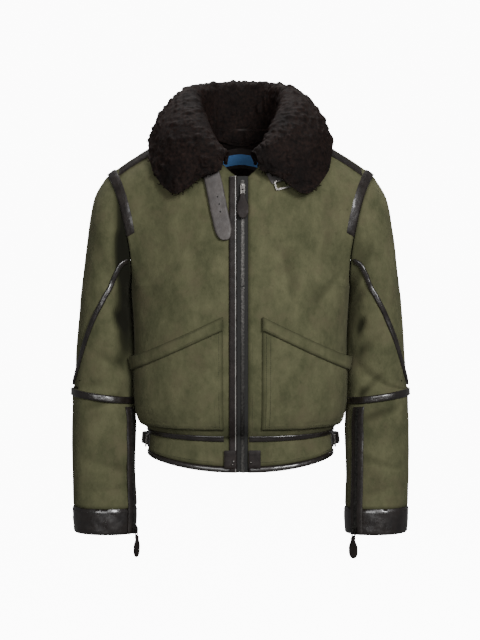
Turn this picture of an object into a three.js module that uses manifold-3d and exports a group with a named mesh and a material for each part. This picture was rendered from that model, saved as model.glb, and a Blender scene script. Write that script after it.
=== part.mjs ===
// Shearling coat: a hip-length zipped coat with a curly fleece collar, leather
// tapes over its seams, slanted patch pockets and a belted waistband. It stands
// filled out with no wearer, so every panel is a wall round an open hollow.
// Millimetres. +Z is up, the front faces -Y and the wearer's left is +X. The
// origin lies between the wearer's shoulders, level with the sleeve tops.

import * as THREE from 'three';
import Module from 'manifold-3d';
import { mergeVertices } from 'three/addons/utils/BufferGeometryUtils.js';

const wasm = await Module();
wasm.setup();

// Driving sizes
const HIDE = 5;               // hide with its clipped fleece
const LEATHER = 2;            // tapes and strips
const SEAM_GAP = 0.36;        // between neighbouring pieces
const ARM_CLEAR = 0.3;        // between the body's side and the sleeve beside it
const LAY_GAP = 0.8;          // between a panel and what lies on it
const ZIP_X = 4;              // the front zip's middle
const RIGHT_EDGE = 7;         // front edge of the right front, from x = 0
const LEFT_EDGE = 14;         // front edge of the left front
const NECK_HALF = 80;
const NECK_SPREAD = 0.72;     // how soon the front neckline widens
const NECK_HIGH = 92;         // neck point of the shoulder seam
const FRONT_NECK = { y: -108, z: -5 };
const BACK_NECK = { y: 85, z: 70 };
const ARMPIT_Z = -215;
const BODY_POWER = 2.6;       // squareness of the body's rings
const ARM_POWER = 2.15;       // squareness of the sleeve's rings
const SHOULDER_BEND = 1.45;   // how the shoulder line steepens outwards
const FRONT_NECK_ANGLE = 0;   // where the neckline leaves the front edge
const BACK_NECK_ANGLE = 36;   // and the middle of the back

const COLOURS = {
  suede: { color: 0x615d44, roughness: 0.95, metalness: 0 },
  fleece: { color: 0x1d1614, roughness: 1, metalness: 0 },
  leather: { color: 0x352d2b, roughness: 0.42, metalness: 0 },
  strap: { color: 0x5c5450, roughness: 0.6, metalness: 0 },
  zip: { color: 0x2b2a28, roughness: 0.7, metalness: 0 },
  metal: { color: 0x4a4846, roughness: 0.35, metalness: 1 },
  label: { color: 0x2b4a72, roughness: 0.8, metalness: 0 },
};

// Rings of the body from the hem up: half width at the side, depth of the front
// and of the back, and how far the ring rises at the side
const BODY_ROWS = [
  { z: -565, half: 181, front: 118, back: 112, rise: 24 },
  { z: -553, half: 180, front: 117, back: 111, rise: 22 },
  { z: -527, half: 178, front: 116, back: 110, rise: 15 },
  { z: -500, half: 178, front: 116, back: 110, rise: 7 },
  { z: -488, half: 187, front: 123, back: 116, rise: 5 },
  { z: -471, half: 198, front: 131, back: 122, rise: 3 },
  { z: -440, half: 204, front: 136, back: 125, rise: 0 },
  { z: -380, half: 206, front: 139, back: 127, rise: 0 },
  { z: -300, half: 207, front: 140, back: 129, rise: 0 },
  { z: ARMPIT_Z, half: 212, front: 137, back: 130, rise: 0 },
];
const HEM = 0;
const BAND_LOW = 1;
const WAIST = 3;
const ARMPIT = BODY_ROWS.length - 1;
const SHOULDER = ARMPIT + 1;
const BACK_NECK_ROW = ARMPIT + (90 + BACK_NECK_ANGLE) / 180;

// Rings of a sleeve from the armhole down: its inner and outer points, the share
// of the way in at which it is deepest, how far it is scooped towards the body in
// front and behind, and its middle and half depth
const SLEEVE_ROWS = [
  { xIn: 212, zIn: -215, xOut: 258, zOut: 0, mid: 0.4, scoop: 17, hollow: 9, y: 0, deep: 76 },
  { xIn: 213.6, zIn: -224, xOut: 283, zOut: -43, mid: 0.42, scoop: 8, hollow: 3, y: -1, deep: 77 },
  { xIn: 212.8, zIn: -237, xOut: 295, zOut: -105, mid: 0.45, scoop: 3, hollow: 0, y: -2, deep: 76 },
  { xIn: 210.7, zIn: -253, xOut: 304, zOut: -178, mid: 0.48, scoop: 0, hollow: 0, y: -3, deep: 74 },
  { xIn: 209.5, zIn: -273, xOut: 314, zOut: -268, mid: 0.5, scoop: 0, hollow: 0, y: -5, deep: 71 },
  { xIn: 208, zIn: -298, xOut: 323, zOut: -402, mid: 0.5, scoop: 0, hollow: 0, y: -8, deep: 67 },
  { xIn: 207.3, zIn: -345, xOut: 324, zOut: -408, mid: 0.5, scoop: 0, hollow: 0, y: -10, deep: 65 },
  { xIn: 207, zIn: -390, xOut: 325, zOut: -413, mid: 0.5, scoop: 0, hollow: 0, y: -12, deep: 64 },
  { xIn: 208.6, zIn: -435, xOut: 326, zOut: -418, mid: 0.5, scoop: 0, hollow: 0, y: -14, deep: 63 },
  { xIn: 202.5, zIn: -490, xOut: 327, zOut: -482, mid: 0.5, scoop: 0, hollow: 0, y: -17, deep: 60 },
  { xIn: 204, zIn: -562, xOut: 327, zOut: -560, mid: 0.5, scoop: 0, hollow: 0, y: -22, deep: 57 },
  { xIn: 202, zIn: -641, xOut: 325, zOut: -639, mid: 0.5, scoop: 0, hollow: 0, y: -27, deep: 54 },
  { xIn: 203, zIn: -691, xOut: 323, zOut: -689, mid: 0.5, scoop: 0, hollow: 0, y: -30, deep: 52 },
];
const ARMHOLE_ROW = 0;
const ELBOW_ROW = 8;
const CUFF_ROW = 11;
const CUFF_END = 12;

// The diagonal seam between the upper sleeve and the piece under the arm: its row at
// even steps of turn, from the outer side to where it meets the armhole
const DIAGONAL = { step: 18, rows: [5, 4.95, 4.75, 4.43, 4.03, 3.45, 2.45, 0.25] };

// Soft troughs of the sleeves: middle row and turn, slant in rows for each 100
// degrees, width in rows, spread in degrees and depth. They fade out round the inner
// side, where the sleeve rests on the body
const FOLD_FADE = 28;
const SLEEVE_FOLDS = {
  '-1': [
    { row: 2.7, turn: 120, slant: 0.9, width: 0.45, spread: 60, depth: 5 },
    { row: 6.2, turn: 130, slant: -1.2, width: 0.6, spread: 55, depth: 5 },
    { row: 7.4, turn: 100, slant: 1.0, width: 0.5, spread: 50, depth: 4 },
    { row: 9.3, turn: 110, slant: -0.6, width: 0.35, spread: 60, depth: 4 },
    { row: 6.6, turn: 250, slant: 0.9, width: 0.5, spread: 55, depth: 5 },
    { row: 9.0, turn: 255, slant: 0.4, width: 0.4, spread: 60, depth: 4 },
  ],
  1: [
    { row: 2.5, turn: 125, slant: 0.8, width: 0.45, spread: 55, depth: 5 },
    { row: 4.4, turn: 95, slant: 1.2, width: 0.35, spread: 50, depth: 4 },
    { row: 6.5, turn: 125, slant: -1.4, width: 0.55, spread: 60, depth: 6 },
    { row: 7.0, turn: 75, slant: -0.9, width: 0.45, spread: 50, depth: 4 },
    { row: 9.1, turn: 105, slant: 0.5, width: 0.4, spread: 60, depth: 4 },
    { row: 6.8, turn: 245, slant: 1.0, width: 0.5, spread: 55, depth: 5 },
    { row: 9.4, turn: 260, slant: -0.5, width: 0.4, spread: 55, depth: 4 },
  ],
};

// Half of the collar from the middle of the back to the front end: the seam at
// the neck, the top of the roll, the fullest point of the fall, and its edge
const COLLAR_STATIONS = [
  { seam: [0, 86, 75], roll: [0, 90, 185], fall: [0, 128, 144], edge: [0, 141, 58] },
  { seam: [44, 74, 82], roll: [58, 76, 182], fall: [79, 106, 143], edge: [92, 124, 62] },
  { seam: [72, 37, 94], roll: [91, 38, 172], fall: [129, 54, 134], edge: [156, 66, 66] },
  { seam: [80, 0, 98], roll: [95, -4, 158], fall: [147, -6, 124], edge: [173, -10, 70] },
  { seam: [78, -38, 94], roll: [92, -46, 134], fall: [143, -60, 103], edge: [172, -62, 44] },
  { seam: [71, -68, 77], roll: [80, -80, 106], fall: [127, -104, 66], edge: [160, -99, -3] },
  { seam: [57, -90, 56], roll: [67, -101, 78], fall: [98, -124, 30], edge: [121, -124, -40] },
  { seam: [42, -102, 36], roll: [48, -113, 54], fall: [62, -128, 26], edge: [73, -129, -10] },
  { seam: [27, -109, 17], roll: [27, -118, 34], fall: [33, -124, 20], edge: [36, -125, 5] },
];
const COLLAR_THICK = [10, 15, 14, 10];

// Just in front of the side seam, where the fronts end, and just beside the
// middle of the back
const SIDE_SEAM = 1 + 1e-9;
const MIDDLE = 1e-9;

const vector = (x, y, z) => new THREE.Vector3(x, y, z);
const { lerp, smoothstep, degToRad } = THREE.MathUtils;

// Curve through the rows of a table, read at any row number
function readRows(rows, key, at) {
  const low = Math.min(Math.max(Math.floor(at), 0), rows.length - 2);
  const t = at - low;
  const value = (i) => rows[Math.min(Math.max(i, 0), rows.length - 1)][key];
  const [a, b, c, d] = [value(low - 1), value(low), value(low + 1), value(low + 2)];
  const slopeB = (c - a) / 2;
  const slopeC = (d - b) / 2;
  const t2 = t * t;
  const t3 = t2 * t;
  return (2 * t3 - 3 * t2 + 1) * b + (t3 - 2 * t2 + t) * slopeB
    + (-2 * t3 + 3 * t2) * c + (t3 - t2) * slopeC;
}

// Unit ring that is squarer than a circle: across and along at an angle
function squareRing(angle, power) {
  const s = Math.sin(angle);
  const c = Math.cos(angle);
  const k = (Math.abs(s) ** power + Math.abs(c) ** power) ** (-1 / power);
  return { s: s * k, c: c * k };
}

function solveBetween(low, high, isBelow) {
  let a = low;
  let b = high;
  for (let i = 0; i < 40; i += 1) {
    const m = (a + b) / 2;
    if (isBelow(m)) {
      a = m;
    } else {
      b = m;
    }
  }
  return (a + b) / 2;
}

// Sleeve

function sleeveFold(side, turn, row) {
  let depth = 0;
  for (const fold of SLEEVE_FOLDS[side]) {
    const along = (row - fold.row - (fold.slant * (turn - fold.turn)) / 100) / fold.width;
    const round = (turn - fold.turn) / fold.spread;
    depth += fold.depth * Math.exp(-along * along - round * round);
  }
  return depth * (1 - Math.exp(-(((turn - 180) / FOLD_FADE) ** 2)));
}

// Point of a sleeve. Turn 0 is its outer side, 90 its front, 180 its inner side
function sleevePoint(side, turn, row) {
  const ring = squareRing(degToRad(turn), ARM_POWER);
  const read = (key) => readRows(SLEEVE_ROWS, key, row);
  const mid = read('mid');
  const way = ring.c > 0 ? mid * (1 - ring.c) : mid - (1 - mid) * ring.c;
  const scoop = ring.s > 0 ? read('scoop') : read('hollow');
  const x = lerp(read('xOut'), read('xIn'), way) - scoop * Math.abs(ring.s) ** 1.5;
  const z = lerp(read('zOut'), read('zIn'), way);
  const y = read('y') - ring.s * read('deep');
  const centre = sleeveCentre(row);
  const inward = vector(centre.x - x, centre.y - y, centre.z - z).normalize();
  const turnOfFold = ((turn % 360) + 360) % 360;
  const depth = sleeveFold(side, turnOfFold, row);
  return vector(x, y, z).addScaledVector(inward, depth);
}

function sleeveCentre(row) {
  const read = (key) => readRows(SLEEVE_ROWS, key, row);
  return vector((read('xIn') + read('xOut')) / 2, read('y'), (read('zIn') + read('zOut')) / 2);
}

function sleeveNormal(side, turn, row) {
  const dTurn = sleevePoint(side, turn + 1, row).sub(sleevePoint(side, turn - 1, row));
  const low = Math.max(row - 0.02, 0);
  const high = Math.min(row + 0.02, CUFF_END);
  const dRow = sleevePoint(side, turn, high).sub(sleevePoint(side, turn, low));
  const normal = dTurn.cross(dRow).normalize();
  const out = sleevePoint(side, turn, row).sub(sleeveCentre(row));
  return normal.dot(out) < 0 ? normal.negate() : normal;
}

// Body

const faceTurn = { front: (angle) => 90 - angle, back: (angle) => angle - 90 };

function armholePoint(face, angle) {
  return sleevePoint(1, faceTurn[face](angle), ARMHOLE_ROW);
}

// Start of a row above the armpit: the front edge or the middle of the back, and
// then the neckline up to the shoulder seam
function neckPoint(face, edge, angle) {
  if (face === 'front') {
    if (angle <= FRONT_NECK_ANGLE) {
      const t = (angle + 90) / (FRONT_NECK_ANGLE + 90);
      const y = lerp(-BODY_ROWS[ARMPIT].front, FRONT_NECK.y, t ** 1.3);
      return vector(edge, y, lerp(ARMPIT_Z, FRONT_NECK.z, t));
    }
    const turn = degToRad((90 * (angle - FRONT_NECK_ANGLE)) / (90 - FRONT_NECK_ANGLE));
    const s = Math.sin(turn);
    const x = lerp(edge, NECK_HALF, s ** NECK_SPREAD);
    return vector(x, FRONT_NECK.y * Math.cos(turn), lerp(FRONT_NECK.z, NECK_HIGH, s));
  }
  if (angle <= BACK_NECK_ANGLE) {
    const t = (angle + 90) / (BACK_NECK_ANGLE + 90);
    const y = lerp(BODY_ROWS[ARMPIT].back, BACK_NECK.y, t ** 2.2);
    return vector(edge, y, lerp(ARMPIT_Z, BACK_NECK.z, t));
  }
  const turn = degToRad((90 * (angle - BACK_NECK_ANGLE)) / (90 - BACK_NECK_ANGLE));
  const s = Math.sin(turn);
  const z = lerp(BACK_NECK.z, NECK_HIGH, s);
  return vector(lerp(edge, NECK_HALF, s), BACK_NECK.y * Math.cos(turn), z);
}

// Point of the front or back for x > 0: across runs from 0 at the middle to 1 at
// the side or armhole, and row from the hem to the shoulder seam
function bodyPoint(face, edge, across, row) {
  const ring = squareRing((across * Math.PI) / 2, BODY_POWER);
  if (row <= ARMPIT) {
    const read = (key) => readRows(BODY_ROWS, key, row);
    const sign = face === 'front' ? -1 : 1;
    const x = lerp(edge, read('half'), ring.s);
    return vector(x, sign * read(face) * ring.c, read('z') + read('rise') * ring.s ** 2);
  }
  const angle = -90 + 180 * (row - ARMPIT);
  const start = neckPoint(face, edge, angle);
  const end = armholePoint(face, angle);
  const flatness = smoothstep(angle, -90, -20);
  const depth = lerp(ring.c, 1 - ring.s ** 2.2, flatness);
  const x = lerp(start.x, end.x, ring.s);
  const z = lerp(start.z, end.z, ring.s ** SHOULDER_BEND);
  return vector(x, lerp(end.y, start.y, depth), z);
}

function bodyNormal(face, edge, across, row) {
  const a0 = Math.max(across - 0.02, 0);
  const a1 = Math.min(across + 0.02, 1);
  const r0 = row > ARMPIT ? Math.max(row - 0.01, ARMPIT) : Math.max(row - 0.05, HEM);
  const r1 = Math.min(row + (row > ARMPIT ? 0.01 : 0.05), SHOULDER);
  const dAcross = bodyPoint(face, edge, a1, row).sub(bodyPoint(face, edge, a0, row));
  const dRow = bodyPoint(face, edge, across, r1).sub(bodyPoint(face, edge, across, r0));
  const normal = face === 'front' ? dAcross.cross(dRow) : dRow.cross(dAcross);
  return normal.normalize();
}

// One way round the whole body: -2 at the right front edge, -1 at the right side,
// 0 at the middle of the back, 1 at the left side, 2 at the left front edge
function girthPlace(girth) {
  const side = girth < 0 ? -1 : 1;
  const way = Math.abs(girth);
  if (way > 1) {
    const edge = side < 0 ? RIGHT_EDGE : LEFT_EDGE;
    return { side, face: 'front', edge, across: 2 - way };
  }
  return { side, face: 'back', edge: 0, across: way };
}

// Unit direction of the seam wall where body and sleeve meet over the shoulder,
// halfway between their two normals, so that neither wall runs into the other
function shoulderMitre(face, own, angle, bodyOwn, sleeveOwn) {
  const share = smoothstep(angle, -10, 40);
  const mean = bodyOwn.clone().add(sleeveOwn).normalize();
  return own.clone().lerp(mean, share).normalize();
}

const bodySurface = {
  at(girth, row) {
    const { side, face, edge, across } = girthPlace(girth);
    const point = bodyPoint(face, edge, across, row);
    const normal = bodyNormal(face, edge, across, row);
    if (face === 'back' && across < 0.001 && row <= BACK_NECK_ROW) {
      normal.setX(0).normalize();
    }
    if (across > 0.999 && row > ARMPIT) {
      const angle = -90 + 180 * (row - ARMPIT);
      const sleeve = sleeveNormal(1, faceTurn[face](angle), ARMHOLE_ROW);
      normal.copy(shoulderMitre(face, normal, angle, normal, sleeve));
    }
    point.x *= side;
    normal.x *= side;
    return { point, normal };
  },
};

const sleeveSurface = (side) => ({
  at(turn, row) {
    const point = sleevePoint(side, turn, row);
    const normal = sleeveNormal(side, turn, row);
    if (row < ARMHOLE_ROW + 0.05) {
      const round = ((turn % 360) + 360) % 360;
      const face = round <= 180 ? 'front' : 'back';
      const angle = face === 'front' ? 90 - round : round - 270;
      const body = bodyNormal(face, 0, 1, SHOULDER - (90 - angle) / 180);
      normal.copy(shoulderMitre(face, normal, angle, body, normal));
    }
    point.x = (point.x + ARM_CLEAR) * side;
    normal.x *= side;
    return { point, normal };
  },
});

// Solids

function evenly(from, to, steps) {
  return Array.from({ length: steps + 1 }, (_, i) => lerp(from, to, i / steps));
}

// Closed wall between two grids of points. The grids wrap along their columns
// when the wall is a tube, and the open edges get rims
function wallBetween(outer, inner, wraps) {
  const rows = outer.length;
  const columns = outer[0].length;
  const positions = [];
  for (const grid of [outer, inner]) {
    for (const row of grid) {
      for (const p of row) {
        positions.push(p.x, p.y, p.z);
      }
    }
  }
  const index = [];
  const number = (layer, i, j) => layer * rows * columns + i * columns + (j % columns);
  const quad = (a, b, c, d) => index.push(a, b, c, a, c, d);
  const spans = wraps ? columns : columns - 1;
  for (let i = 0; i < rows - 1; i += 1) {
    for (let j = 0; j < spans; j += 1) {
      quad(number(0, i, j), number(0, i, j + 1), number(0, i + 1, j + 1), number(0, i + 1, j));
      quad(number(1, i, j), number(1, i + 1, j), number(1, i + 1, j + 1), number(1, i, j + 1));
    }
  }
  for (let j = 0; j < spans; j += 1) {
    const last = rows - 1;
    quad(number(0, 0, j + 1), number(0, 0, j), number(1, 0, j), number(1, 0, j + 1));
    quad(number(0, last, j + 1), number(1, last, j + 1), number(1, last, j), number(0, last, j));
  }
  if (!wraps) {
    for (let i = 0; i < rows - 1; i += 1) {
      const end = columns - 1;
      quad(number(0, i, 0), number(0, i + 1, 0), number(1, i + 1, 0), number(1, i, 0));
      quad(number(0, i, end), number(1, i, end), number(1, i + 1, end), number(0, i + 1, end));
    }
  }
  const geometry = new THREE.BufferGeometry();
  geometry.setAttribute('position', new THREE.Float32BufferAttribute(positions, 3));
  geometry.setIndex(index);
  if (signedVolume(geometry) < 0) {
    for (let i = 0; i < index.length; i += 3) {
      [index[i + 1], index[i + 2]] = [index[i + 2], index[i + 1]];
    }
    geometry.setIndex(index);
  }
  geometry.computeVertexNormals();
  return geometry;
}

function signedVolume(geometry) {
  const position = geometry.getAttribute('position');
  const index = geometry.getIndex();
  const [a, b, c] = [vector(0, 0, 0), vector(0, 0, 0), vector(0, 0, 0)];
  let volume = 0;
  for (let i = 0; i < index.count; i += 3) {
    a.fromBufferAttribute(position, index.getX(i));
    b.fromBufferAttribute(position, index.getX(i + 1));
    c.fromBufferAttribute(position, index.getX(i + 2));
    volume += a.dot(b.cross(c)) / 6;
  }
  return volume;
}

// Draws the edges of a grid in by half of the seam gap
function drawIn(grid, wraps, keepsStart) {
  const rows = grid.length;
  const columns = grid[0].length;
  const pull = (p, towards) => {
    const step = towards.clone().sub(p);
    p.addScaledVector(step.normalize(), SEAM_GAP / 2);
  };
  for (let j = 0; j < columns; j += 1) {
    pull(grid[0][j], grid[1][j]);
    pull(grid[rows - 1][j], grid[rows - 2][j]);
  }
  if (!wraps) {
    for (let i = 0; i < rows; i += 1) {
      if (!keepsStart) {
        pull(grid[i][0], grid[i][1]);
      }
      pull(grid[i][columns - 1], grid[i][columns - 2]);
    }
  }
}

// Wall on a surface: place gives the two numbers of each grid point, and the wall
// reaches from lift above the surface down through its thickness
function wallOn(surface, options) {
  const { rows, columns, place, lift = 0, thick = HIDE, wraps = false, keepsStart = false } = options;
  const outer = [];
  const inner = [];
  const last = wraps ? columns - 1 : columns;
  for (let i = 0; i <= rows; i += 1) {
    outer.push([]);
    inner.push([]);
    for (let j = 0; j <= last; j += 1) {
      const [a, b] = place(i / rows, j / columns);
      const { point, normal } = surface.at(a, b);
      const rise = typeof lift === 'function' ? lift(i / rows, j / columns) : lift;
      outer[i].push(point.clone().addScaledVector(normal, rise));
      inner[i].push(point.clone().addScaledVector(normal, rise - thick));
    }
  }
  drawIn(outer, wraps, keepsStart);
  drawIn(inner, wraps, keepsStart);
  return wallBetween(outer, inner, wraps);
}

function listPlace(list, share) {
  const at = share * (list.length - 1);
  const low = Math.min(Math.floor(at + 1e-9), list.length - 2);
  return lerp(list[low], list[low + 1], at - low);
}

const coat = new THREE.Group();

function add(name, look, geometry, parent = coat) {
  const mesh = new THREE.Mesh(geometry, new THREE.MeshStandardMaterial(COLOURS[look]));
  mesh.name = name;
  parent.add(mesh);
  return mesh;
}

const SIDES = [{ side: -1, word: 'right' }, { side: 1, word: 'left' }];
const FRONT_COLUMNS = 11;
const UPPER_STEPS = 10;
const ARM_COLUMNS = 20;
const BODY_LEVELS = [WAIST, 3.5, 4, 4.5, 5.2, 6.2, 7.4, 8.3, ARMPIT];
const UPPER_LEVELS = evenly(ARMPIT, SHOULDER, UPPER_STEPS).slice(1);
const PANEL_LEVELS = [...BODY_LEVELS, ...UPPER_LEVELS];

// Fronts and back
for (const { side, word } of SIDES) {
  add(`front_${word}`, 'suede', wallOn(bodySurface, {
    rows: PANEL_LEVELS.length - 1,
    columns: FRONT_COLUMNS,
    place: (up, along) => [side * lerp(2, SIDE_SEAM, along), listPlace(PANEL_LEVELS, up)],
  }));
}
// The back is one piece. Its halves share the middle up to the neckline, which
// parts them above it, so each is made by itself and then they are joined
const backHalf = (side) => wallOn(bodySurface, {
  rows: PANEL_LEVELS.length - 1,
  columns: FRONT_COLUMNS,
  keepsStart: true,
  place: (up, along) => [side * lerp(MIDDLE, 1, along), listPlace(PANEL_LEVELS, up)],
});
add('back', 'suede', asGeometry(asSolid(backHalf(-1)).add(asSolid(backHalf(1)))));

// Waistband in three panels, its binding along the hem and the tape above it
const BAND_SPANS = [
  { word: 'front_right', from: -2, to: -SIDE_SEAM, tapeFrom: -1.91, columns: FRONT_COLUMNS },
  { word: 'back', from: -1, to: 1, tapeFrom: -1, columns: 2 * FRONT_COLUMNS },
  { word: 'front_left', from: 2, to: SIDE_SEAM, tapeFrom: 1.99, columns: FRONT_COLUMNS },
];
const TAPE_LEVELS = [2.72, 3.05, 3.4];
const WAIST_TAPE_PROUD = 0.7;
const BINDING = { proud: 1.5, thick: HIDE + 3 };
for (const { word, from, to, tapeFrom, columns } of BAND_SPANS) {
  add(`band_${word}`, 'suede', wallOn(bodySurface, {
    rows: 2,
    columns,
    place: (up, along) => [lerp(from, to, along), lerp(BAND_LOW, WAIST, up)],
  }));
  add(`waist_tape_${word}`, 'leather', wallOn(bodySurface, {
    rows: TAPE_LEVELS.length - 1,
    columns,
    lift: LAY_GAP + WAIST_TAPE_PROUD + LEATHER,
    thick: LEATHER,
    place: (up, along) => [lerp(tapeFrom, to, along), listPlace(TAPE_LEVELS, up)],
  }));
}
add('hem_binding', 'leather', wallOn(bodySurface, {
  rows: 1,
  columns: 4 * FRONT_COLUMNS,
  lift: BINDING.proud,
  thick: BINDING.thick,
  place: (up, along) => [lerp(-2, 2, along), lerp(HEM, BAND_LOW, up)],
}));

// Place on a front from its distance to the middle and its height
function frontPlace(side, x, z) {
  const edge = side < 0 ? RIGHT_EDGE : LEFT_EDGE;
  let across = 0.4;
  let row = ARMPIT;
  for (let i = 0; i < 12; i += 1) {
    const atAcross = across;
    row = solveBetween(HEM, SHOULDER, (r) => bodyPoint('front', edge, atAcross, r).z < z);
    const atRow = row;
    across = solveBetween(0, 1, (a) => bodyPoint('front', edge, a, atRow).x < x);
  }
  return [side * (2 - across), row];
}

// Patch pockets with a slanted welt along the mouth
const POCKET = {
  reach: 37,
  outer: 0.8,
  innerTop: -270,
  outerTop: -350,
  low: 4.4,
  level: 8,
  thick: 4,
  proud: 0.3,
  welt: 26,
  weltThick: 3,
  flare: 5,
};
for (const { side, word } of SIDES) {
  const edge = side < 0 ? RIGHT_EDGE : LEFT_EDGE;
  const inner = POCKET.reach + side * ZIP_X;
  const [start] = frontPlace(side, inner, POCKET.innerTop);
  const end = side * (2 - POCKET.outer);
  const top = (along) => {
    const girth = lerp(start, end, along);
    const { across } = girthPlace(girth);
    const { x } = bodyPoint('front', edge, across, POCKET.level);
    const outerX = bodyPoint('front', edge, POCKET.outer, POCKET.level).x;
    return lerp(POCKET.innerTop, POCKET.outerTop, (x - inner) / (outerX - inner));
  };
  const rowAt = (girth, z) => {
    const { across } = girthPlace(girth);
    return solveBetween(WAIST, SHOULDER, (r) => bodyPoint('front', edge, across, r).z < z);
  };
  add(`pocket_${word}`, 'suede', wallOn(bodySurface, {
    rows: 6,
    columns: 9,
    lift: LAY_GAP + POCKET.proud + POCKET.thick,
    thick: POCKET.thick,
    place: (up, along) => {
      const girth = lerp(start, end, along);
      return [girth, lerp(POCKET.low, rowAt(girth, top(along)), up ** 0.8)];
    },
  }));
  add(`pocket_welt_${word}`, 'suede', wallOn(bodySurface, {
    rows: 1,
    columns: 9,
    lift: (up, along) => (
      2 * LAY_GAP + POCKET.thick + POCKET.weltThick + POCKET.flare * up * along ** 3
    ),
    thick: POCKET.weltThick,
    place: (up, along) => {
      const girth = lerp(start, end, along);
      return [girth, rowAt(girth, top(along) - POCKET.welt * (1 - up) + 1)];
    },
  }));
}

// Front edge and zip
const ZIP_LEVELS = [0.1, 1, 2, WAIST, 3.5, 4, 4.5, 5.2, 6.2, 7.4, 8.3, ARMPIT, 9.15, 9.3, 9.45];
const ZIP_TOP_ROW = ARMPIT + (90 + FRONT_NECK_ANGLE) / 180;
const ZIP_ROWS = [...ZIP_LEVELS, ZIP_TOP_ROW];
const PLACKET = { from: 8.4, to: 21.5, proud: 1.6 };

function acrossAt(edge, x, row) {
  return solveBetween(0, 1, (a) => bodyPoint('front', edge, a, row).x < x);
}

add('placket', 'leather', wallOn(bodySurface, {
  rows: ZIP_ROWS.length - 1,
  columns: 1,
  lift: LAY_GAP + PLACKET.proud + LEATHER,
  thick: LEATHER,
  place: (up, along) => {
    const row = listPlace(ZIP_ROWS, up);
    return [-(2 - acrossAt(RIGHT_EDGE, lerp(PLACKET.from, PLACKET.to, along), row)), row];
  },
}));

// Strip between the fronts: distance across from the zip's middle, and row
const zipSurface = {
  at(across, row) {
    const point = bodyPoint('front', ZIP_X, 0, row);
    const normal = bodyNormal('front', ZIP_X, 0, row);
    point.x = across;
    normal.x = 0;
    return { point, normal: normal.normalize() };
  },
};
const TAPE_SUNK = -2.4;
const TAPE_THICK = 1.4;
const TEETH = { half: 3, proud: 0.3, thick: 2 };
add('zip_tape', 'zip', wallOn(zipSurface, {
  rows: ZIP_ROWS.length - 1,
  columns: 1,
  lift: TAPE_SUNK,
  thick: TAPE_THICK,
  place: (up, along) => [lerp(-RIGHT_EDGE, LEFT_EDGE, along), listPlace(ZIP_ROWS, up)],
}));
add('zip_teeth', 'metal', wallOn(zipSurface, {
  rows: ZIP_ROWS.length - 1,
  columns: 1,
  lift: TAPE_SUNK + TEETH.proud + TEETH.thick,
  thick: TEETH.thick,
  place: (up, along) => [ZIP_X + lerp(-TEETH.half, TEETH.half, along), listPlace(ZIP_ROWS, up)],
}));

// Leather squares at the foot of the zip
const PATCH = {
  low: -557,
  high: -522,
  right: { from: 8.4, to: 31, proud: 4.4 },
  left: { from: 15, to: 38, proud: 1.6 },
};
for (const { side, word } of SIDES) {
  const { from, to, proud } = PATCH[word];
  add(`hem_patch_${word}`, 'leather', wallOn(bodySurface, {
    rows: 1,
    columns: 2,
    lift: LAY_GAP + proud + LEATHER,
    thick: LEATHER,
    place: (up, along) => frontPlace(side, lerp(from, to, along), lerp(PATCH.low, PATCH.high, up)),
  }));
}

// Sleeves
const SLEEVE_TOP = ARMHOLE_ROW + 0.02;
const DIAGONAL_STEPS = DIAGONAL.rows.length - 1;
const DIAGONAL_REACH = DIAGONAL.step * DIAGONAL_STEPS;
const CUFF_PROUD = 1;

// Row of the diagonal seam, or of the armhole beyond the seam's ends
function diagonalRow(turn) {
  const away = Math.abs(((turn + 180) % 360) - 180);
  if (away > DIAGONAL_REACH + 1) {
    return SLEEVE_TOP;
  }
  return listPlace(DIAGONAL.rows, Math.min(away / DIAGONAL_REACH, 1));
}

// The upper sleeve lies over the arm's outer side, and the other pieces are tubes
const SLEEVE_PIECES = [
  {
    name: 'sleeve_upper',
    rows: 8,
    columns: 2 * DIAGONAL_STEPS,
    wraps: false,
    place: (down, along) => {
      const turn = lerp(-DIAGONAL_REACH, DIAGONAL_REACH, along);
      return [turn, lerp(SLEEVE_TOP, diagonalRow(turn), down)];
    },
  },
  {
    name: 'sleeve_elbow',
    rows: 8,
    columns: ARM_COLUMNS,
    wraps: true,
    place: (down, along) => [360 * along, lerp(diagonalRow(360 * along), ELBOW_ROW, down)],
  },
  {
    name: 'sleeve_forearm',
    rows: 5,
    columns: ARM_COLUMNS,
    wraps: true,
    place: (down, along) => [360 * along, lerp(ELBOW_ROW, CUFF_ROW, down)],
  },
];

const DIAGONAL_TAPE = { wide: 9, proud: 1.5, reach: 117, steps: 26 };
const ELBOW_TAPE = { wide: 14, proud: 0.75 };

// Row at a distance down the sleeve from a given row
function rowBeyond(side, turn, row, distance) {
  const start = sleevePoint(side, turn, row);
  const sign = Math.sign(distance);
  const reach = (r) => sleevePoint(side, turn, row + sign * r).distanceTo(start);
  return row + sign * solveBetween(0, 2, (r) => reach(r) < Math.abs(distance));
}

function elbowTape(side, half, extra) {
  return wallOn(sleeveSurface(side), {
    rows: 2,
    columns: ARM_COLUMNS,
    wraps: true,
    lift: LAY_GAP + LEATHER + extra,
    thick: LEATHER,
    place: (down, along) => {
      const distance = lerp(-half, half, down);
      return [360 * along, rowBeyond(side, 360 * along, ELBOW_ROW, distance || 1e-6)];
    },
  });
}

// Strip of even width along a line on a surface
function ribbonOn(surface, { steps, place, half, lift, thick }) {
  const outer = [[], []];
  const inner = [[], []];
  for (let i = 0; i <= steps; i += 1) {
    const share = i / steps;
    const { point, normal } = surface.at(...place(share));
    const ahead = surface.at(...place(Math.min(share + 0.01, 1))).point;
    const behind = surface.at(...place(Math.max(share - 0.01, 0))).point;
    const across = ahead.sub(behind).cross(normal).normalize();
    for (const [row, hand] of [[0, -1], [1, 1]]) {
      const edge = point.clone().addScaledVector(across, hand * half);
      outer[row].push(edge.clone().addScaledVector(normal, lift));
      inner[row].push(edge.clone().addScaledVector(normal, lift - thick));
    }
  }
  return wallBetween(outer, inner, false);
}

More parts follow.
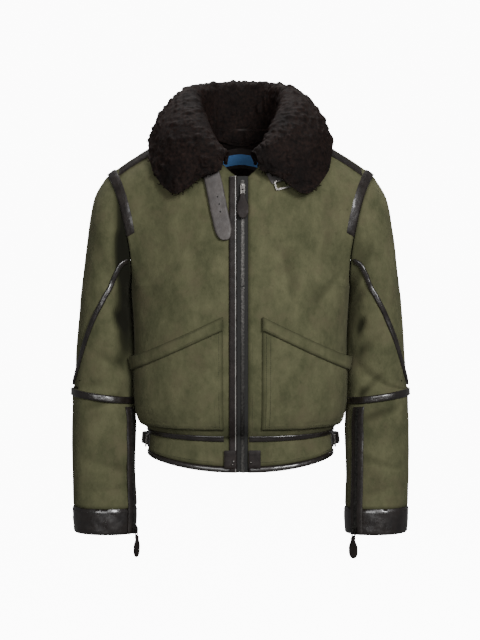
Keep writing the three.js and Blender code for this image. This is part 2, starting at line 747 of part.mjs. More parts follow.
for (const { side, word } of SIDES) {
  const surface = sleeveSurface(side);
  for (const { name, ...form } of SLEEVE_PIECES) {
    add(`${name}_${word}`, 'suede', wallOn(surface, form));
  }
  add(`cuff_${word}`, 'leather', wallOn(surface, {
    rows: 2,
    columns: ARM_COLUMNS,
    wraps: true,
    lift: CUFF_PROUD,
    thick: HIDE + 2 * CUFF_PROUD,
    place: (down, along) => [360 * along, lerp(CUFF_ROW, CUFF_END, down)],
  }));
  add(`diagonal_tape_${word}`, 'leather', ribbonOn(surface, {
    steps: DIAGONAL_TAPE.steps,
    place: (share) => {
      const turn = lerp(-DIAGONAL_TAPE.reach, DIAGONAL_TAPE.reach, share);
      return [turn, diagonalRow(turn)];
    },
    half: DIAGONAL_TAPE.wide / 2,
    lift: LAY_GAP + LEATHER + DIAGONAL_TAPE.proud,
    thick: LEATHER,
  }));
  add(`elbow_tape_${word}`, 'leather', elbowTape(side, ELBOW_TAPE.wide / 2, ELBOW_TAPE.proud));
}

// Tapes along the armhole, on the body's side of the seam, and over the shoulder
const ARMHOLE_TAPE = { wide: 19, lowest: -15, steps: 22, edge: 0.985 };
const SHOULDER_TAPE = { from: 55, to: 69, inner: 120, outer: 232, proud: 0.6 };
for (const { side, word } of SIDES) {
  add(`armhole_tape_${word}`, 'leather', wallOn(bodySurface, {
    rows: 1,
    columns: ARMHOLE_TAPE.steps,
    lift: LAY_GAP + LEATHER,
    thick: LEATHER,
    place: (out, along) => {
      const way = lerp(-1, 1, along);
      const face = way < 0 ? 'front' : 'back';
      const angle = lerp(90, ARMHOLE_TAPE.lowest, Math.abs(way));
      const row = SHOULDER - (90 - angle) / 180;
      const end = bodyPoint(face, 0, ARMHOLE_TAPE.edge, row);
      const inner = solveBetween(0, 1, (a) => (
        bodyPoint(face, 0, a, row).distanceTo(end) > ARMHOLE_TAPE.wide
      ));
      const across = lerp(inner, ARMHOLE_TAPE.edge, out);
      return [side * (face === 'front' ? 2 - across : across), row];
    },
  }));
  add(`shoulder_tape_${word}`, 'leather', wallOn(bodySurface, {
    rows: 1,
    columns: 6,
    lift: LAY_GAP + SHOULDER_TAPE.proud + LEATHER,
    thick: LEATHER,
    place: (up, along) => {
      const angle = lerp(SHOULDER_TAPE.from, SHOULDER_TAPE.to, up);
      const row = SHOULDER - (90 - angle) / 180;
      const x = lerp(SHOULDER_TAPE.inner, SHOULDER_TAPE.outer, along);
      return [side * (2 - acrossAt(0, x, row)), row];
    },
  }));
}

// Collar: a thick fleece wall that stands at the neck, rolls over and falls
function collarCurve(key, at) {
  const side = at < 0 ? -1 : 1;
  const table = COLLAR_STATIONS.map((station) => {
    const [x, y, z] = station[key];
    return { x, y, z };
  });
  const mirrored = [{ ...table[1], x: -table[1].x }, ...table];
  const read = (axis) => readRows(mirrored, axis, Math.abs(at) + 1);
  return vector(side * read('x'), read('y'), read('z'));
}

function hermite(a, slopeA, b, slopeB, t) {
  const t2 = t * t;
  const t3 = t2 * t;
  return a.clone().multiplyScalar(2 * t3 - 3 * t2 + 1)
    .addScaledVector(slopeA, t3 - 2 * t2 + t)
    .addScaledVector(b, -2 * t3 + 3 * t2)
    .addScaledVector(slopeB, t3 - t2);
}

const COLLAR_END = COLLAR_STATIONS.length - 1;
const ROLL_FULLNESS = 1.25;
const COLLAR_GRID = { levels: [0, 0.45, 0.8, 1, 1.25, 1.6, 2, 2.4, 2.75, 3], columns: 28 };

function collarPoint(at, up) {
  const seam = collarCurve('seam', at);
  const roll = collarCurve('roll', at);
  const fall = collarCurve('fall', at);
  const edge = collarCurve('edge', at);
  const outward = fall.clone().sub(roll).setZ(0).normalize();
  const overRoll = outward.multiplyScalar(fall.distanceTo(roll) * ROLL_FULLNESS);
  if (up <= 1) {
    return hermite(seam, roll.clone().sub(seam), roll, overRoll, up);
  }
  const throughFall = edge.clone().sub(roll).multiplyScalar(0.5);
  if (up <= 2) {
    return hermite(roll, overRoll, fall, throughFall, up - 1);
  }
  return hermite(fall, throughFall, edge, edge.clone().sub(fall), up - 2);
}

const collarSurface = {
  at(at, up) {
    const point = collarPoint(at, up);
    const h = 0.02;
    const a0 = Math.max(at - h, -COLLAR_END);
    const a1 = Math.min(at + h, COLLAR_END);
    const u0 = Math.max(up - h, 0);
    const u1 = Math.min(up + h, 3);
    const dAt = collarPoint(a1, up).sub(collarPoint(a0, up));
    const dUp = collarPoint(at, u1).sub(collarPoint(at, u0));
    return { point, normal: dUp.cross(dAt).normalize() };
  },
};

function collarWall() {
  const outer = [];
  const inner = [];
  for (const up of COLLAR_GRID.levels) {
    const outerRow = [];
    const innerRow = [];
    for (let j = 0; j <= COLLAR_GRID.columns; j += 1) {
      const at = lerp(-COLLAR_END, COLLAR_END, j / COLLAR_GRID.columns);
      const { point, normal } = collarSurface.at(at, up);
      const low = Math.min(Math.floor(up), 2);
      const half = lerp(COLLAR_THICK[low], COLLAR_THICK[low + 1], up - low) / 2;
      outerRow.push(point.clone().addScaledVector(normal, half));
      innerRow.push(point.clone().addScaledVector(normal, -half));
    }
    outer.push(outerRow);
    inner.push(innerRow);
  }
  return wallBetween(outer, inner, false);
}
add('collar', 'fleece', collarWall());

// Facing and blank label inside the back of the neck
const FACING = { half: 0.12, low: 0.58, high: 0.678, lift: -HIDE - 1.6 * LAY_GAP };
const LABEL = { half: 0.095, low: 0.598, high: 0.65, thick: 1 };
add('neck_facing', 'leather', wallOn(bodySurface, {
  rows: 2,
  columns: 4,
  lift: FACING.lift,
  thick: LEATHER,
  place: (up, along) => [
    lerp(-FACING.half, FACING.half, along),
    ARMPIT + lerp(FACING.low, FACING.high, up),
  ],
}));
add('neck_label', 'label', wallOn(bodySurface, {
  rows: 1,
  columns: 2,
  lift: FACING.lift - LEATHER - 0.7 * LAY_GAP,
  thick: LABEL.thick,
  place: (up, along) => [
    lerp(-LABEL.half, LABEL.half, along),
    ARMPIT + lerp(LABEL.low, LABEL.high, up),
  ],
}));

// Throat strap, hanging open on the right front from under the collar
const STRAP = { wide: 33, thick: 3, lift: 4.8 };
const STRAP_PATH = [
  { x: 58, z: 12, share: 1 },
  { x: 50, z: -20, share: 1 },
  { x: 42, z: -60, share: 1 },
  { x: 34, z: -98, share: 1 },
  { x: 31, z: -117, share: 0.8 },
  { x: 29.5, z: -127, share: 0.4 },
];
add('collar_strap', 'strap', wallOn(bodySurface, {
  rows: STRAP_PATH.length - 1,
  columns: 2,
  lift: STRAP.lift + STRAP.thick,
  thick: STRAP.thick,
  place: (down, along) => {
    const at = Math.round(down * (STRAP_PATH.length - 1));
    const { x, z, share } = STRAP_PATH[at];
    return frontPlace(-1, x + (along - 0.5) * STRAP.wide * share, z);
  },
}));

// Metal pieces

function asSolid(geometry) {
  const bare = geometry.clone();
  bare.deleteAttribute('normal');
  bare.deleteAttribute('uv');
  const merged = mergeVertices(bare, 1e-4);
  return new wasm.Manifold(new wasm.Mesh({
    numProp: 3,
    vertProperties: merged.getAttribute('position').array,
    triVerts: new Uint32Array(merged.getIndex().array),
  }));
}

function asGeometry(solid) {
  const mesh = solid.getMesh();
  const geometry = new THREE.BufferGeometry();
  geometry.setAttribute('position', new THREE.Float32BufferAttribute(mesh.vertProperties, 3));
  geometry.setIndex(Array.from(mesh.triVerts));
  geometry.computeVertexNormals();
  return geometry;
}

function roundedShape(shape, left, right, low, high, radius) {
  shape.moveTo(left + radius, low);
  shape.lineTo(right - radius, low);
  shape.absarc(right - radius, low + radius, radius, -Math.PI / 2, 0, false);
  shape.lineTo(right, high - radius);
  shape.absarc(right - radius, high - radius, radius, 0, Math.PI / 2, false);
  shape.lineTo(left + radius, high);
  shape.absarc(left + radius, high - radius, radius, Math.PI / 2, Math.PI, false);
  shape.lineTo(left, low + radius);
  shape.absarc(left + radius, low + radius, radius, Math.PI, 1.5 * Math.PI, false);
  return shape;
}

// Plate facing -Y, from its front at -far to its back at -near
function plate(shape, near, far) {
  const geometry = new THREE.ExtrudeGeometry(shape, {
    depth: far - near, bevelEnabled: false, curveSegments: 3,
  });
  geometry.rotateX(Math.PI / 2);
  geometry.translate(0, -near, 0);
  return geometry;
}

// Zip slider with a bridge, the puller that hangs on the bridge, and its tab
const SLIDER = { half: 4.5, low: -8, high: 8, near: 0.3, far: 4.3 };
const BRIDGE = { half: 1.2, leg: 5, slot: 3.2, top: 8.6, under: 7.2 };
const PIVOT = { out: 5.75, z: -1.9 };
const PULLER = { half: 4, bar: 0.8, hole: 2, holeEnd: -7.5, end: -16, thick: 1.6 };
const TAB_TOP = -9.5;

function sliderGeometry() {
  const body = plate(
    roundedShape(new THREE.Shape(), -SLIDER.half, SLIDER.half, SLIDER.low, SLIDER.high, 2.5),
    SLIDER.near,
    SLIDER.far,
  );
  const profile = new THREE.Shape();
  const root = SLIDER.far - 0.5;
  profile.moveTo(-BRIDGE.leg, root);
  profile.lineTo(-BRIDGE.slot, root);
  profile.lineTo(-BRIDGE.slot, BRIDGE.under);
  profile.lineTo(BRIDGE.slot, BRIDGE.under);
  profile.lineTo(BRIDGE.slot, root);
  profile.lineTo(BRIDGE.leg, root);
  profile.lineTo(BRIDGE.leg, BRIDGE.top - 1.4);
  profile.lineTo(BRIDGE.leg - 1.4, BRIDGE.top);
  profile.lineTo(-BRIDGE.leg + 1.4, BRIDGE.top);
  profile.lineTo(-BRIDGE.leg, BRIDGE.top - 1.4);
  profile.closePath();
  const bridge = new THREE.ExtrudeGeometry(profile, { depth: 2 * BRIDGE.half, bevelEnabled: false });
  bridge.translate(0, 0, -BRIDGE.half);
  const turn = new THREE.Matrix4().makeBasis(
    vector(0, 0, 1),
    vector(0, -1, 0),
    vector(1, 0, 0),
  );
  bridge.applyMatrix4(turn);
  return asGeometry(asSolid(body).add(asSolid(bridge)));
}

function pullerGeometry() {
  const outline = roundedShape(
    new THREE.Shape(), -PULLER.half, PULLER.half, PULLER.end, PULLER.bar, 0.7,
  );
  const hole = new THREE.Path();
  hole.moveTo(-PULLER.hole, -PULLER.bar);
  hole.lineTo(PULLER.hole, -PULLER.bar);
  hole.lineTo(PULLER.hole, PULLER.holeEnd);
  hole.lineTo(-PULLER.hole, PULLER.holeEnd);
  hole.closePath();
  outline.holes.push(hole);
  return plate(outline, -PULLER.thick / 2, PULLER.thick / 2);
}

function tabGeometry(long, wide) {
  const shape = roundedShape(
    new THREE.Shape(), -wide / 2, wide / 2, TAB_TOP - long, TAB_TOP, wide / 2 - 0.5,
  );
  const near = PULLER.thick / 2 + 0.3;
  return plate(shape, near, near + 2.5);
}

// Places a piece so that its own -Y points along out and its own +Z along up
function setFrame(object, point, out, up) {
  const back = out.clone().negate().normalize();
  const right = back.clone().cross(up).normalize();
  const top = right.clone().cross(back).normalize();
  object.quaternion.setFromRotationMatrix(new THREE.Matrix4().makeBasis(right, back, top));
  object.position.copy(point);
}

function addPull(prefix, point, out, up, tabLong, tabWide) {
  const holder = new THREE.Group();
  setFrame(holder, point, out, up);
  add(`${prefix}_slider`, 'metal', sliderGeometry(), holder);
  const hinge = new THREE.Group();
  hinge.position.set(0, -PIVOT.out, PIVOT.z);
  add(`${prefix}_puller`, 'metal', pullerGeometry(), hinge);
  add(`${prefix}_pull_tab`, 'leather', tabGeometry(tabLong, tabWide), hinge);
  holder.add(hinge);
  coat.add(holder);
}

const MAIN_SLIDER_ROW = ARMPIT + 0.445;
const mainZip = zipSurface.at(ZIP_X, MAIN_SLIDER_ROW);
const mainUp = zipSurface.at(ZIP_X, MAIN_SLIDER_ROW + 0.02).point.sub(mainZip.point);
const mainSeat = mainZip.point.clone().addScaledVector(mainZip.normal, TAPE_SUNK + 2.3);
addPull('zip', mainSeat, mainZip.normal, mainUp, 48, 22);

// Zips at the inner front of the forearms
const CUFF_ZIP = {
  '-1': { turn: 150 },
  1: { turn: 131 },
};
const CUFF_STRIP = { half: 13, from: 8.25, teeth: 2.5, rows: 7 };
for (const { side, word } of SIDES) {
  const surface = sleeveSurface(side);
  const { turn } = CUFF_ZIP[side];
  const degrees = (distance, row) => {
    const radius = sleevePoint(side, turn, row).distanceTo(sleeveCentre(row));
    return THREE.MathUtils.radToDeg(distance / radius);
  };
  const strip = (half, lift, thick) => wallOn(surface, {
    rows: CUFF_STRIP.rows,
    columns: half > 5 ? 2 : 1,
    lift,
    thick,
    place: (down, along) => {
      const row = lerp(CUFF_STRIP.from, CUFF_END - 0.01, down);
      return [turn + degrees(lerp(-half, half, along), row), row];
    },
  });
  const stripLift = CUFF_PROUD + LAY_GAP + 0.4 + 1.8;
  add(`sleeve_zip_strip_${word}`, 'leather', strip(CUFF_STRIP.half, stripLift, 1.8));
  add(`sleeve_zip_teeth_${word}`, 'metal', strip(CUFF_STRIP.teeth, stripLift + 0.6 + 1.4, 1.4));
  const seatRow = CUFF_END - 0.28;
  const { point, normal } = surface.at(turn, seatRow);
  const up = surface.at(turn, seatRow - 0.1).point.sub(point);
  const seat = point.clone().addScaledVector(normal, stripLift + 2.1);
  addPull(`sleeve_zip_${word}`, seat, normal, up, 42, 20);
}

// Side adjusters: a leather strap on the band, through a metal frame
const ADJUSTER = { from: 0.72, to: 1.2, low: 1.35, high: 2.55, thick: 3, frameAt: 1.1 };
const FRAME = { half: 9, tall: 13.5, bar: 3, thick: 3 };
for (const { side, word } of SIDES) {
  add(`side_strap_${word}`, 'leather', wallOn(bodySurface, {
    rows: 2,
    columns: 7,
    lift: LAY_GAP + 0.4 + ADJUSTER.thick,
    thick: ADJUSTER.thick,
    place: (up, along) => [
      side * lerp(ADJUSTER.from, ADJUSTER.to, along),
      lerp(ADJUSTER.low, ADJUSTER.high, up),
    ],
  }));
  const row = (ADJUSTER.low + ADJUSTER.high) / 2;
  const { point, normal } = bodySurface.at(side * ADJUSTER.frameAt, row);
  const seat = point.clone().addScaledVector(normal, LAY_GAP + ADJUSTER.thick + 1);
  const shape = roundedShape(new THREE.Shape(), -FRAME.half, FRAME.half, -FRAME.tall, FRAME.tall, 3);
  const inner = FRAME.half - FRAME.bar;
  const tall = FRAME.tall - FRAME.bar;
  shape.holes.push(roundedShape(new THREE.Path(), -inner, inner, -tall, tall, 1.5));
  const frame = add(`side_buckle_${word}`, 'metal', plate(shape, 0, FRAME.thick));
  setFrame(frame, seat, normal, vector(0, 0, 1));
}

// Buckle of the throat strap, on a short strap under the left side of the collar
const CATCH_PATH = [
  { x: 58, z: 14 },
  { x: 66, z: -2 },
  { x: 74, z: -16 },
];
add('buckle_strap', 'strap', wallOn(bodySurface, {
  rows: CATCH_PATH.length - 1,
  columns: 2,
  lift: LAY_GAP + 2.5,
  thick: 2.5,
  place: (down, along) => {
    const { x, z } = CATCH_PATH[Math.round(down * (CATCH_PATH.length - 1))];
    return frontPlace(1, x + (along - 0.5) * 30, z + (along - 0.5) * 10);
  },
}));
const catchPlace = frontPlace(1, 82, -20);
const catchSeat = bodySurface.at(catchPlace[0], catchPlace[1]);
const catchShape = roundedShape(new THREE.Shape(), -19, 19, -9, 9, 4);
catchShape.holes.push(roundedShape(new THREE.Path(), -16, 16, -6, 6, 2));
const catchFrame = add('collar_buckle', 'metal', plate(catchShape, 0, 2.5));
setFrame(
  catchFrame,
  catchSeat.point.clone().addScaledVector(catchSeat.normal, LAY_GAP + 3.4),
  catchSeat.normal,
  vector(-0.25, 0, 1),
);

export default coat;
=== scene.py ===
# Look of the shearling coat, on the frame of its CAD model. Sizes are in millimetres
# until a mesh is made. +Z is up, the front faces -Y and the wearer's left is +X.

import bmesh
import bpy
import numpy as np
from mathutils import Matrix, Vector


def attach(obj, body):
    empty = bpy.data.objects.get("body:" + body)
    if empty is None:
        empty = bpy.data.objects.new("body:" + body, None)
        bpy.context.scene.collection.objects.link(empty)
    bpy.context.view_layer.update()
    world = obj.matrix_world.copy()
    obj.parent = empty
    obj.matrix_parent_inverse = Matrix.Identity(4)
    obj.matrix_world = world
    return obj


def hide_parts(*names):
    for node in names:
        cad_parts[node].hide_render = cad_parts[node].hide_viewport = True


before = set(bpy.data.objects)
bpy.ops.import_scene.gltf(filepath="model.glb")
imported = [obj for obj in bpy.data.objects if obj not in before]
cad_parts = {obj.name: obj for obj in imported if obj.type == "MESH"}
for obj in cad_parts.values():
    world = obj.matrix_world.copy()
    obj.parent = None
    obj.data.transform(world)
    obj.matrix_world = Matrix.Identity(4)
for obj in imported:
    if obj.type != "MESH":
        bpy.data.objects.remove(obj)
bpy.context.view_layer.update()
MM = 0.001

# Driving sizes, as in the CAD
HIDE = 5
LEATHER = 2
SEAM_GAP = 0.36
ARM_CLEAR = 0.3
LAY_GAP = 0.8
ZIP_X = 4
RIGHT_EDGE = 7
LEFT_EDGE = 14
EDGE = {-1: float(RIGHT_EDGE), 1: float(LEFT_EDGE)}
NECK_HALF = 80
NECK_SPREAD = 0.72
NECK_HIGH = 92
FRONT_NECK = (-108, -5)
BACK_NECK = (85, 70)
BODY_POWER = 2.6
ARM_POWER = 2.15
SHOULDER_BEND = 1.45
FRONT_NECK_ANGLE = 0
BACK_NECK_ANGLE = 36

# Rings of the body from the hem up
BODY = {
    "z": [-565, -553, -527, -500, -488, -471, -440, -380, -300, -215],
    "half": [181, 180, 178, 178, 187, 198, 204, 206, 207, 212],
    "front": [118, 117, 116, 116, 123, 131, 136, 139, 140, 137],
    "back": [112, 111, 110, 110, 116, 122, 125, 127, 129, 130],
    "rise": [24, 22, 15, 7, 5, 3, 0, 0, 0, 0],
}
HEM, BAND_LOW, WAIST, ARMPIT, SHOULDER = 0, 1, 3, 9, 10
ARMPIT_Z = -215

# Rings of a sleeve from the armhole down
SLEEVE = {
    "x_in": [212, 213.6, 212.8, 210.7, 209.5, 208, 207.3, 207, 208.6, 202.5, 204, 202, 203],
    "z_in": [-215, -224, -237, -253, -273, -298, -345, -390, -435, -490, -562, -641, -691],
    "x_out": [258, 283, 295, 304, 314, 323, 324, 325, 326, 327, 327, 325, 323],
    "z_out": [0, -43, -105, -178, -268, -402, -408, -413, -418, -482, -560, -639, -689],
    "mid": [0.4, 0.42, 0.45, 0.48, 0.5, 0.5, 0.5, 0.5, 0.5, 0.5, 0.5, 0.5, 0.5],
    "scoop": [17, 8, 3, 0, 0, 0, 0, 0, 0, 0, 0, 0, 0],
    "hollow": [9, 3, 0, 0, 0, 0, 0, 0, 0, 0, 0, 0, 0],
    "y": [0, -1, -2, -3, -5, -8, -10, -12, -14, -17, -22, -27, -30],
    "deep": [76, 77, 76, 74, 71, 67, 65, 64, 63, 60, 57, 54, 52],
}
ELBOW_ROW, CUFF_ROW, CUFF_END = 8, 11, 12
SLEEVE_TOP = 0.02

# Row of the diagonal seam at even steps of turn, from the outer side to the armhole
DIAGONAL = {"step": 18, "rows": [5, 4.95, 4.75, 4.43, 4.03, 3.45, 2.45, 0.25]}

# Soft troughs of the sleeves: row, turn, slant, width in rows, spread, depth
FOLD_FADE = 28
SLEEVE_FOLDS = {
    -1: [
        (2.7, 120, 0.9, 0.45, 60, 5),
        (6.2, 130, -1.2, 0.6, 55, 5),
        (7.4, 100, 1.0, 0.5, 50, 4),
        (9.3, 110, -0.6, 0.35, 60, 4),
        (6.6, 250, 0.9, 0.5, 55, 5),
        (9.0, 255, 0.4, 0.4, 60, 4),
    ],
    1: [
        (2.5, 125, 0.8, 0.45, 55, 5),
        (4.4, 95, 1.2, 0.35, 50, 4),
        (6.5, 125, -1.4, 0.55, 60, 6),
        (7.0, 75, -0.9, 0.45, 50, 4),
        (9.1, 105, 0.5, 0.4, 60, 4),
        (6.8, 245, 1.0, 0.5, 55, 5),
        (9.4, 260, -0.5, 0.4, 55, 4),
    ],
}

# Half of the collar from the middle of the back to the front end
COLLAR = {
    "seam": [(0, 86, 75), (44, 74, 82), (72, 37, 94), (80, 0, 98), (78, -38, 94),
             (71, -68, 77), (57, -90, 56), (42, -102, 36), (27, -109, 17)],
    "roll": [(0, 90, 185), (58, 76, 182), (91, 38, 172), (95, -4, 158), (92, -46, 134),
             (80, -80, 106), (67, -101, 78), (48, -113, 54), (27, -118, 34)],
    "fall": [(0, 128, 144), (79, 106, 143), (129, 54, 134), (147, -6, 124), (143, -60, 103),
             (127, -104, 66), (98, -124, 30), (62, -128, 26), (33, -124, 20)],
    "edge": [(0, 141, 58), (92, 124, 62), (156, 66, 66), (173, -10, 70), (172, -62, 44),
             (160, -99, -3), (121, -124, -40), (73, -129, -10), (36, -125, 5)],
}
COLLAR_THICK = [10, 15, 14, 10]
COLLAR_END = 8
ROLL_FULLNESS = 1.25
COLLAR_BASE = -0.16

# Creases laid over the surfaces, as seen from the front or the back:
# start x, z, end x, z, half width and depth. A negative depth is a ridge
FRONT_CREASES = [
    (87, -150, 106, -262, 15, 3.0),
    (140, -200, 150, -275, 13, 2.6),
    (168, -90, 160, -165, 12, 2.4),
    (120, -60, 128, -140, 18, -1.6),
    (186, -190, 150, -235, 10, 2.8),
    (-182, -185, -150, -250, 13, 3.0),
    (-120, -150, -112, -250, 22, -1.8),
    (-90, -140, -84, -240, 14, 1.8),
    (-150, -90, -140, -150, 16, 1.6),
    (60, -445, 66, -478, 7, 2.2),
    (100, -440, 96, -480, 8, 2.0),
    (146, -436, 150, -476, 7, 2.4),
    (-70, -446, -64, -478, 7, 2.2),
    (-118, -440, -124, -480, 8, 2.4),
    (-160, -438, -156, -474, 7, 2.0),
]
BACK_CREASES = [
    (-150, -120, -120, -260, 20, 3.0),
    (150, -110, 126, -240, 18, 3.2),
    (-60, -150, -40, -330, 26, -2.2),
    (66, -170, 50, -350, 24, 2.2),
    (-100, -430, -90, -482, 9, 2.8),
    (-30, -436, -36, -484, 8, 2.6),
    (38, -430, 44, -482, 9, 2.8),
    (112, -434, 106, -480, 8, 2.4),
    (0, 40, 4, -60, 24, 1.6),
]
ARM_CREASES = [
    (-240, -262, -206, -306, 8, 6.0),
    (-290, -330, -212, -372, 13, 3.4),
    (-300, -446, -214, -420, 9, 3.6),
    (-232, -120, -222, -200, 11, 4.0),
    (-300, -540, -214, -566, 12, 3.0),
    (-296, -606, -216, -596, 9, 2.6),
    (234, -278, 200, -334, 9, 6.5),
    (272, -300, 212, -352, 11, 3.6),
    (268, -384, 206, -440, 9, 5.0),
    (300, -446, 232, -470, 10, 3.4),
    (300, -560, 220, -540, 11, 3.2),
    (292, -600, 224, -612, 10, 2.6),
    (250, -120, 236, -190, 14, 2.6),
]


def lerp(a, b, share):
    return a + (b - a) * share


def smooth(value, low, high):
    t = np.clip((value - low) / (high - low), 0, 1)
    return t * t * (3 - 2 * t)


def unit(v):
    return v / np.maximum(np.linalg.norm(v, axis=-1, keepdims=True), 1e-9)


def scaled(v, size):
    return v * np.asarray(size, float)[..., None]


# Two numbers or arrays as float arrays of one shape
def floats(a, b):
    return np.broadcast_arrays(np.asarray(a, float), np.asarray(b, float))


# Curve from a to b that leaves and arrives with the given slopes
def hermite(a, slope_a, b, slope_b, t):
    t2, t3 = t * t, t * t * t
    return (
        (2 * t3 - 3 * t2 + 1) * a + (t3 - 2 * t2 + t) * slope_a
        + (3 * t2 - 2 * t3) * b + (t3 - t2) * slope_b
    )


# Curve through the rows of a table, read at any row number
def read_rows(column, at):
    column = np.asarray(column, float)
    count = len(column)
    low = np.clip(np.floor(at), 0, count - 2).astype(int)
    t = np.asarray(at, float) - low
    a, b, c, d = (column[np.clip(low + k, 0, count - 1)] for k in (-1, 0, 1, 2))
    if column.ndim == 2:
        t = t[..., None]
    return hermite(b, (c - a) / 2, c, (d - b) / 2, t)


def square_ring(angle, power):
    s, c = np.sin(angle), np.cos(angle)
    k = (np.abs(s) ** power + np.abs(c) ** power) ** (-1 / power)
    return s * k, c * k


# Where a rising function of arrays stops being below
HALVINGS = 26


def solve(low, high, is_below, shape):
    a, b = np.full(shape, float(low)), np.full(shape, float(high))
    for _ in range(HALVINGS):
        m = (a + b) / 2
        below = is_below(m)
        a, b = np.where(below, m, a), np.where(below, b, m)
    return (a + b) / 2


# Smooth random field from -1 to 1 with features of a size in millimetres
def lattice_noise(points, size, seed):
    q = np.asarray(points, float) / size + 0.37 * seed
    cell = np.floor(q).astype(np.int64)
    f = q - cell
    f = f * f * (3 - 2 * f)
    total = np.zeros(q.shape[:-1])
    for corner in range(8):
        step = np.array([corner & 1, corner >> 1 & 1, corner >> 2 & 1])
        at = cell + step
        mixed = at[..., 0] * 73856093 ^ at[..., 1] * 19349663 ^ at[..., 2] * 83492791
        mixed = (mixed ^ seed * 2654435761) & 0xFFFFFFFF
        mixed = ((mixed ^ mixed >> 15) * 2246822519) & 0xFFFFFFFF
        mixed = ((mixed ^ mixed >> 13) * 3266489917) & 0xFFFFFFFF
        value = (mixed >> 8 & 0xFFFF) / 32767.5 - 1
        total += value * np.prod(np.where(step == 1, f, 1 - f), axis=-1)
    return total


# Sleeve. Turn 0 is its outer side, 90 its front, 180 its inner side


def sleeve_xyz(side, turn, row):
    s, c = square_ring(np.radians(turn), ARM_POWER)
    t = {key: read_rows(column, row) for key, column in SLEEVE.items()}
    way = np.where(c > 0, t["mid"] * (1 - c), t["mid"] - (1 - t["mid"]) * c)
    scoop = np.where(s > 0, t["scoop"], t["hollow"]) * np.abs(s) ** 1.5
    x = lerp(t["x_out"], t["x_in"], way) - scoop
    z = lerp(t["z_out"], t["z_in"], way)
    points = np.stack([x, t["y"] - s * t["deep"], z], axis=-1)
    depth = 0
    round_turn = np.mod(turn, 360)
    for fold_row, fold_turn, slant, width, spread, size in SLEEVE_FOLDS[side]:
        away = round_turn - fold_turn
        along = (row - fold_row - slant * away / 100) / width
        depth = depth + size * np.exp(-along * along - (away / spread) ** 2)
    depth = depth * (1 - np.exp(-(((round_turn - 180) / FOLD_FADE) ** 2)))
    return points + scaled(unit(sleeve_centre(row) - points), depth)


def sleeve_centre(row):
    t = {key: read_rows(SLEEVE[key], row) for key in ("x_in", "x_out", "y", "z_in", "z_out")}
    middle = [(t["x_in"] + t["x_out"]) / 2, t["y"], (t["z_in"] + t["z_out"]) / 2]
    return np.stack(middle, axis=-1)


def sleeve_normal(side, turn, row):
    d_turn = sleeve_xyz(side, turn + 1, row) - sleeve_xyz(side, turn - 1, row)
    low, high = np.maximum(row - 0.02, 0), np.minimum(row + 0.02, CUFF_END)
    d_row = sleeve_xyz(side, turn, high) - sleeve_xyz(side, turn, low)
    normal = unit(np.cross(d_turn, d_row))
    out = sleeve_xyz(side, turn, row) - sleeve_centre(row)
    return np.where(np.sum(normal * out, axis=-1, keepdims=True) < 0, -normal, normal)


# Body


def neck_xyz(is_front, edge, angle):
    neck_angle = np.where(is_front, FRONT_NECK_ANGLE, BACK_NECK_ANGLE)
    neck_y = np.where(is_front, FRONT_NECK[0], BACK_NECK[0])
    neck_z = np.where(is_front, FRONT_NECK[1], BACK_NECK[1])
    chest_y = np.where(is_front, -BODY["front"][-1], BODY["back"][-1])
    t = np.clip((angle + 90) / (neck_angle + 90), 0, 1)
    rise_y = lerp(chest_y, neck_y, t ** np.where(is_front, 1.3, 2.2))
    turn = np.radians(np.clip(90 * (angle - neck_angle) / (90 - neck_angle), 0, 90))
    s = np.sin(turn)
    above = angle > neck_angle
    spread = np.where(is_front, s**NECK_SPREAD, s)
    x = np.where(above, lerp(edge, NECK_HALF, spread), edge)
    y = np.where(above, neck_y * np.cos(turn), rise_y)
    z = np.where(above, lerp(neck_z, NECK_HIGH, s), lerp(ARMPIT_Z, neck_z, t))
    return np.stack([x, y, z], axis=-1)


# Point of the front or back for x > 0: across runs from 0 at the middle to 1 at the side
def body_xyz(is_front, edge, across, row):
    is_front, edge, across, row = np.broadcast_arrays(is_front, edge, across, row)
    s, c = square_ring(across * np.pi / 2, BODY_POWER)
    t = {key: read_rows(column, np.minimum(row, ARMPIT)) for key, column in BODY.items()}
    y = np.where(is_front, -t["front"], t["back"]) * c
    low = np.stack([lerp(edge, t["half"], s), y, t["z"] + t["rise"] * s**2], axis=-1)
    angle = angle_at(row)
    start = neck_xyz(is_front, edge, angle)
    end = sleeve_xyz(1, np.where(is_front, 90 - angle, angle - 90), 0 * angle)
    depth = lerp(c, 1 - s**2.2, smooth(angle, -90, -20))
    x = lerp(start[..., 0], end[..., 0], s)
    z = lerp(start[..., 2], end[..., 2], s**SHOULDER_BEND)
    high = np.stack([x, lerp(end[..., 1], start[..., 1], depth), z], axis=-1)
    return np.where((row > ARMPIT)[..., None], high, low)


def body_normal(is_front, edge, across, row):
    a0, a1 = np.maximum(across - 0.02, 0), np.minimum(across + 0.02, 1)
    step = np.where(row > ARMPIT, 0.01, 0.05)
    r0 = np.maximum(row - step, np.where(row > ARMPIT, ARMPIT, HEM))
    r1 = np.minimum(row + step, SHOULDER)
    d_across = body_xyz(is_front, edge, a1, row) - body_xyz(is_front, edge, a0, row)
    d_row = body_xyz(is_front, edge, across, r1) - body_xyz(is_front, edge, across, r0)
    normal = unit(np.cross(d_across, d_row))
    return np.where(np.asarray(is_front)[..., None], normal, -normal)


# Angle round the armhole, from -90 at the armpit to 90 on the shoulder, and its row
def angle_at(row):
    return -90 + 180 * (np.maximum(row, ARMPIT) - ARMPIT)


def row_for(angle):
    return SHOULDER - (90 - angle) / 180


# Share of the way from one wall's own normal to the mean of both walls at the shoulder
def mitre(own, other, angle, nearness):
    mean = unit(own + other)
    share = smooth(angle, -10, 40) * nearness
    return unit(lerp(own, mean, share[..., None]))


# Just in front of the side seam, where the fronts end
SIDE_SEAM = 1 + 1e-9


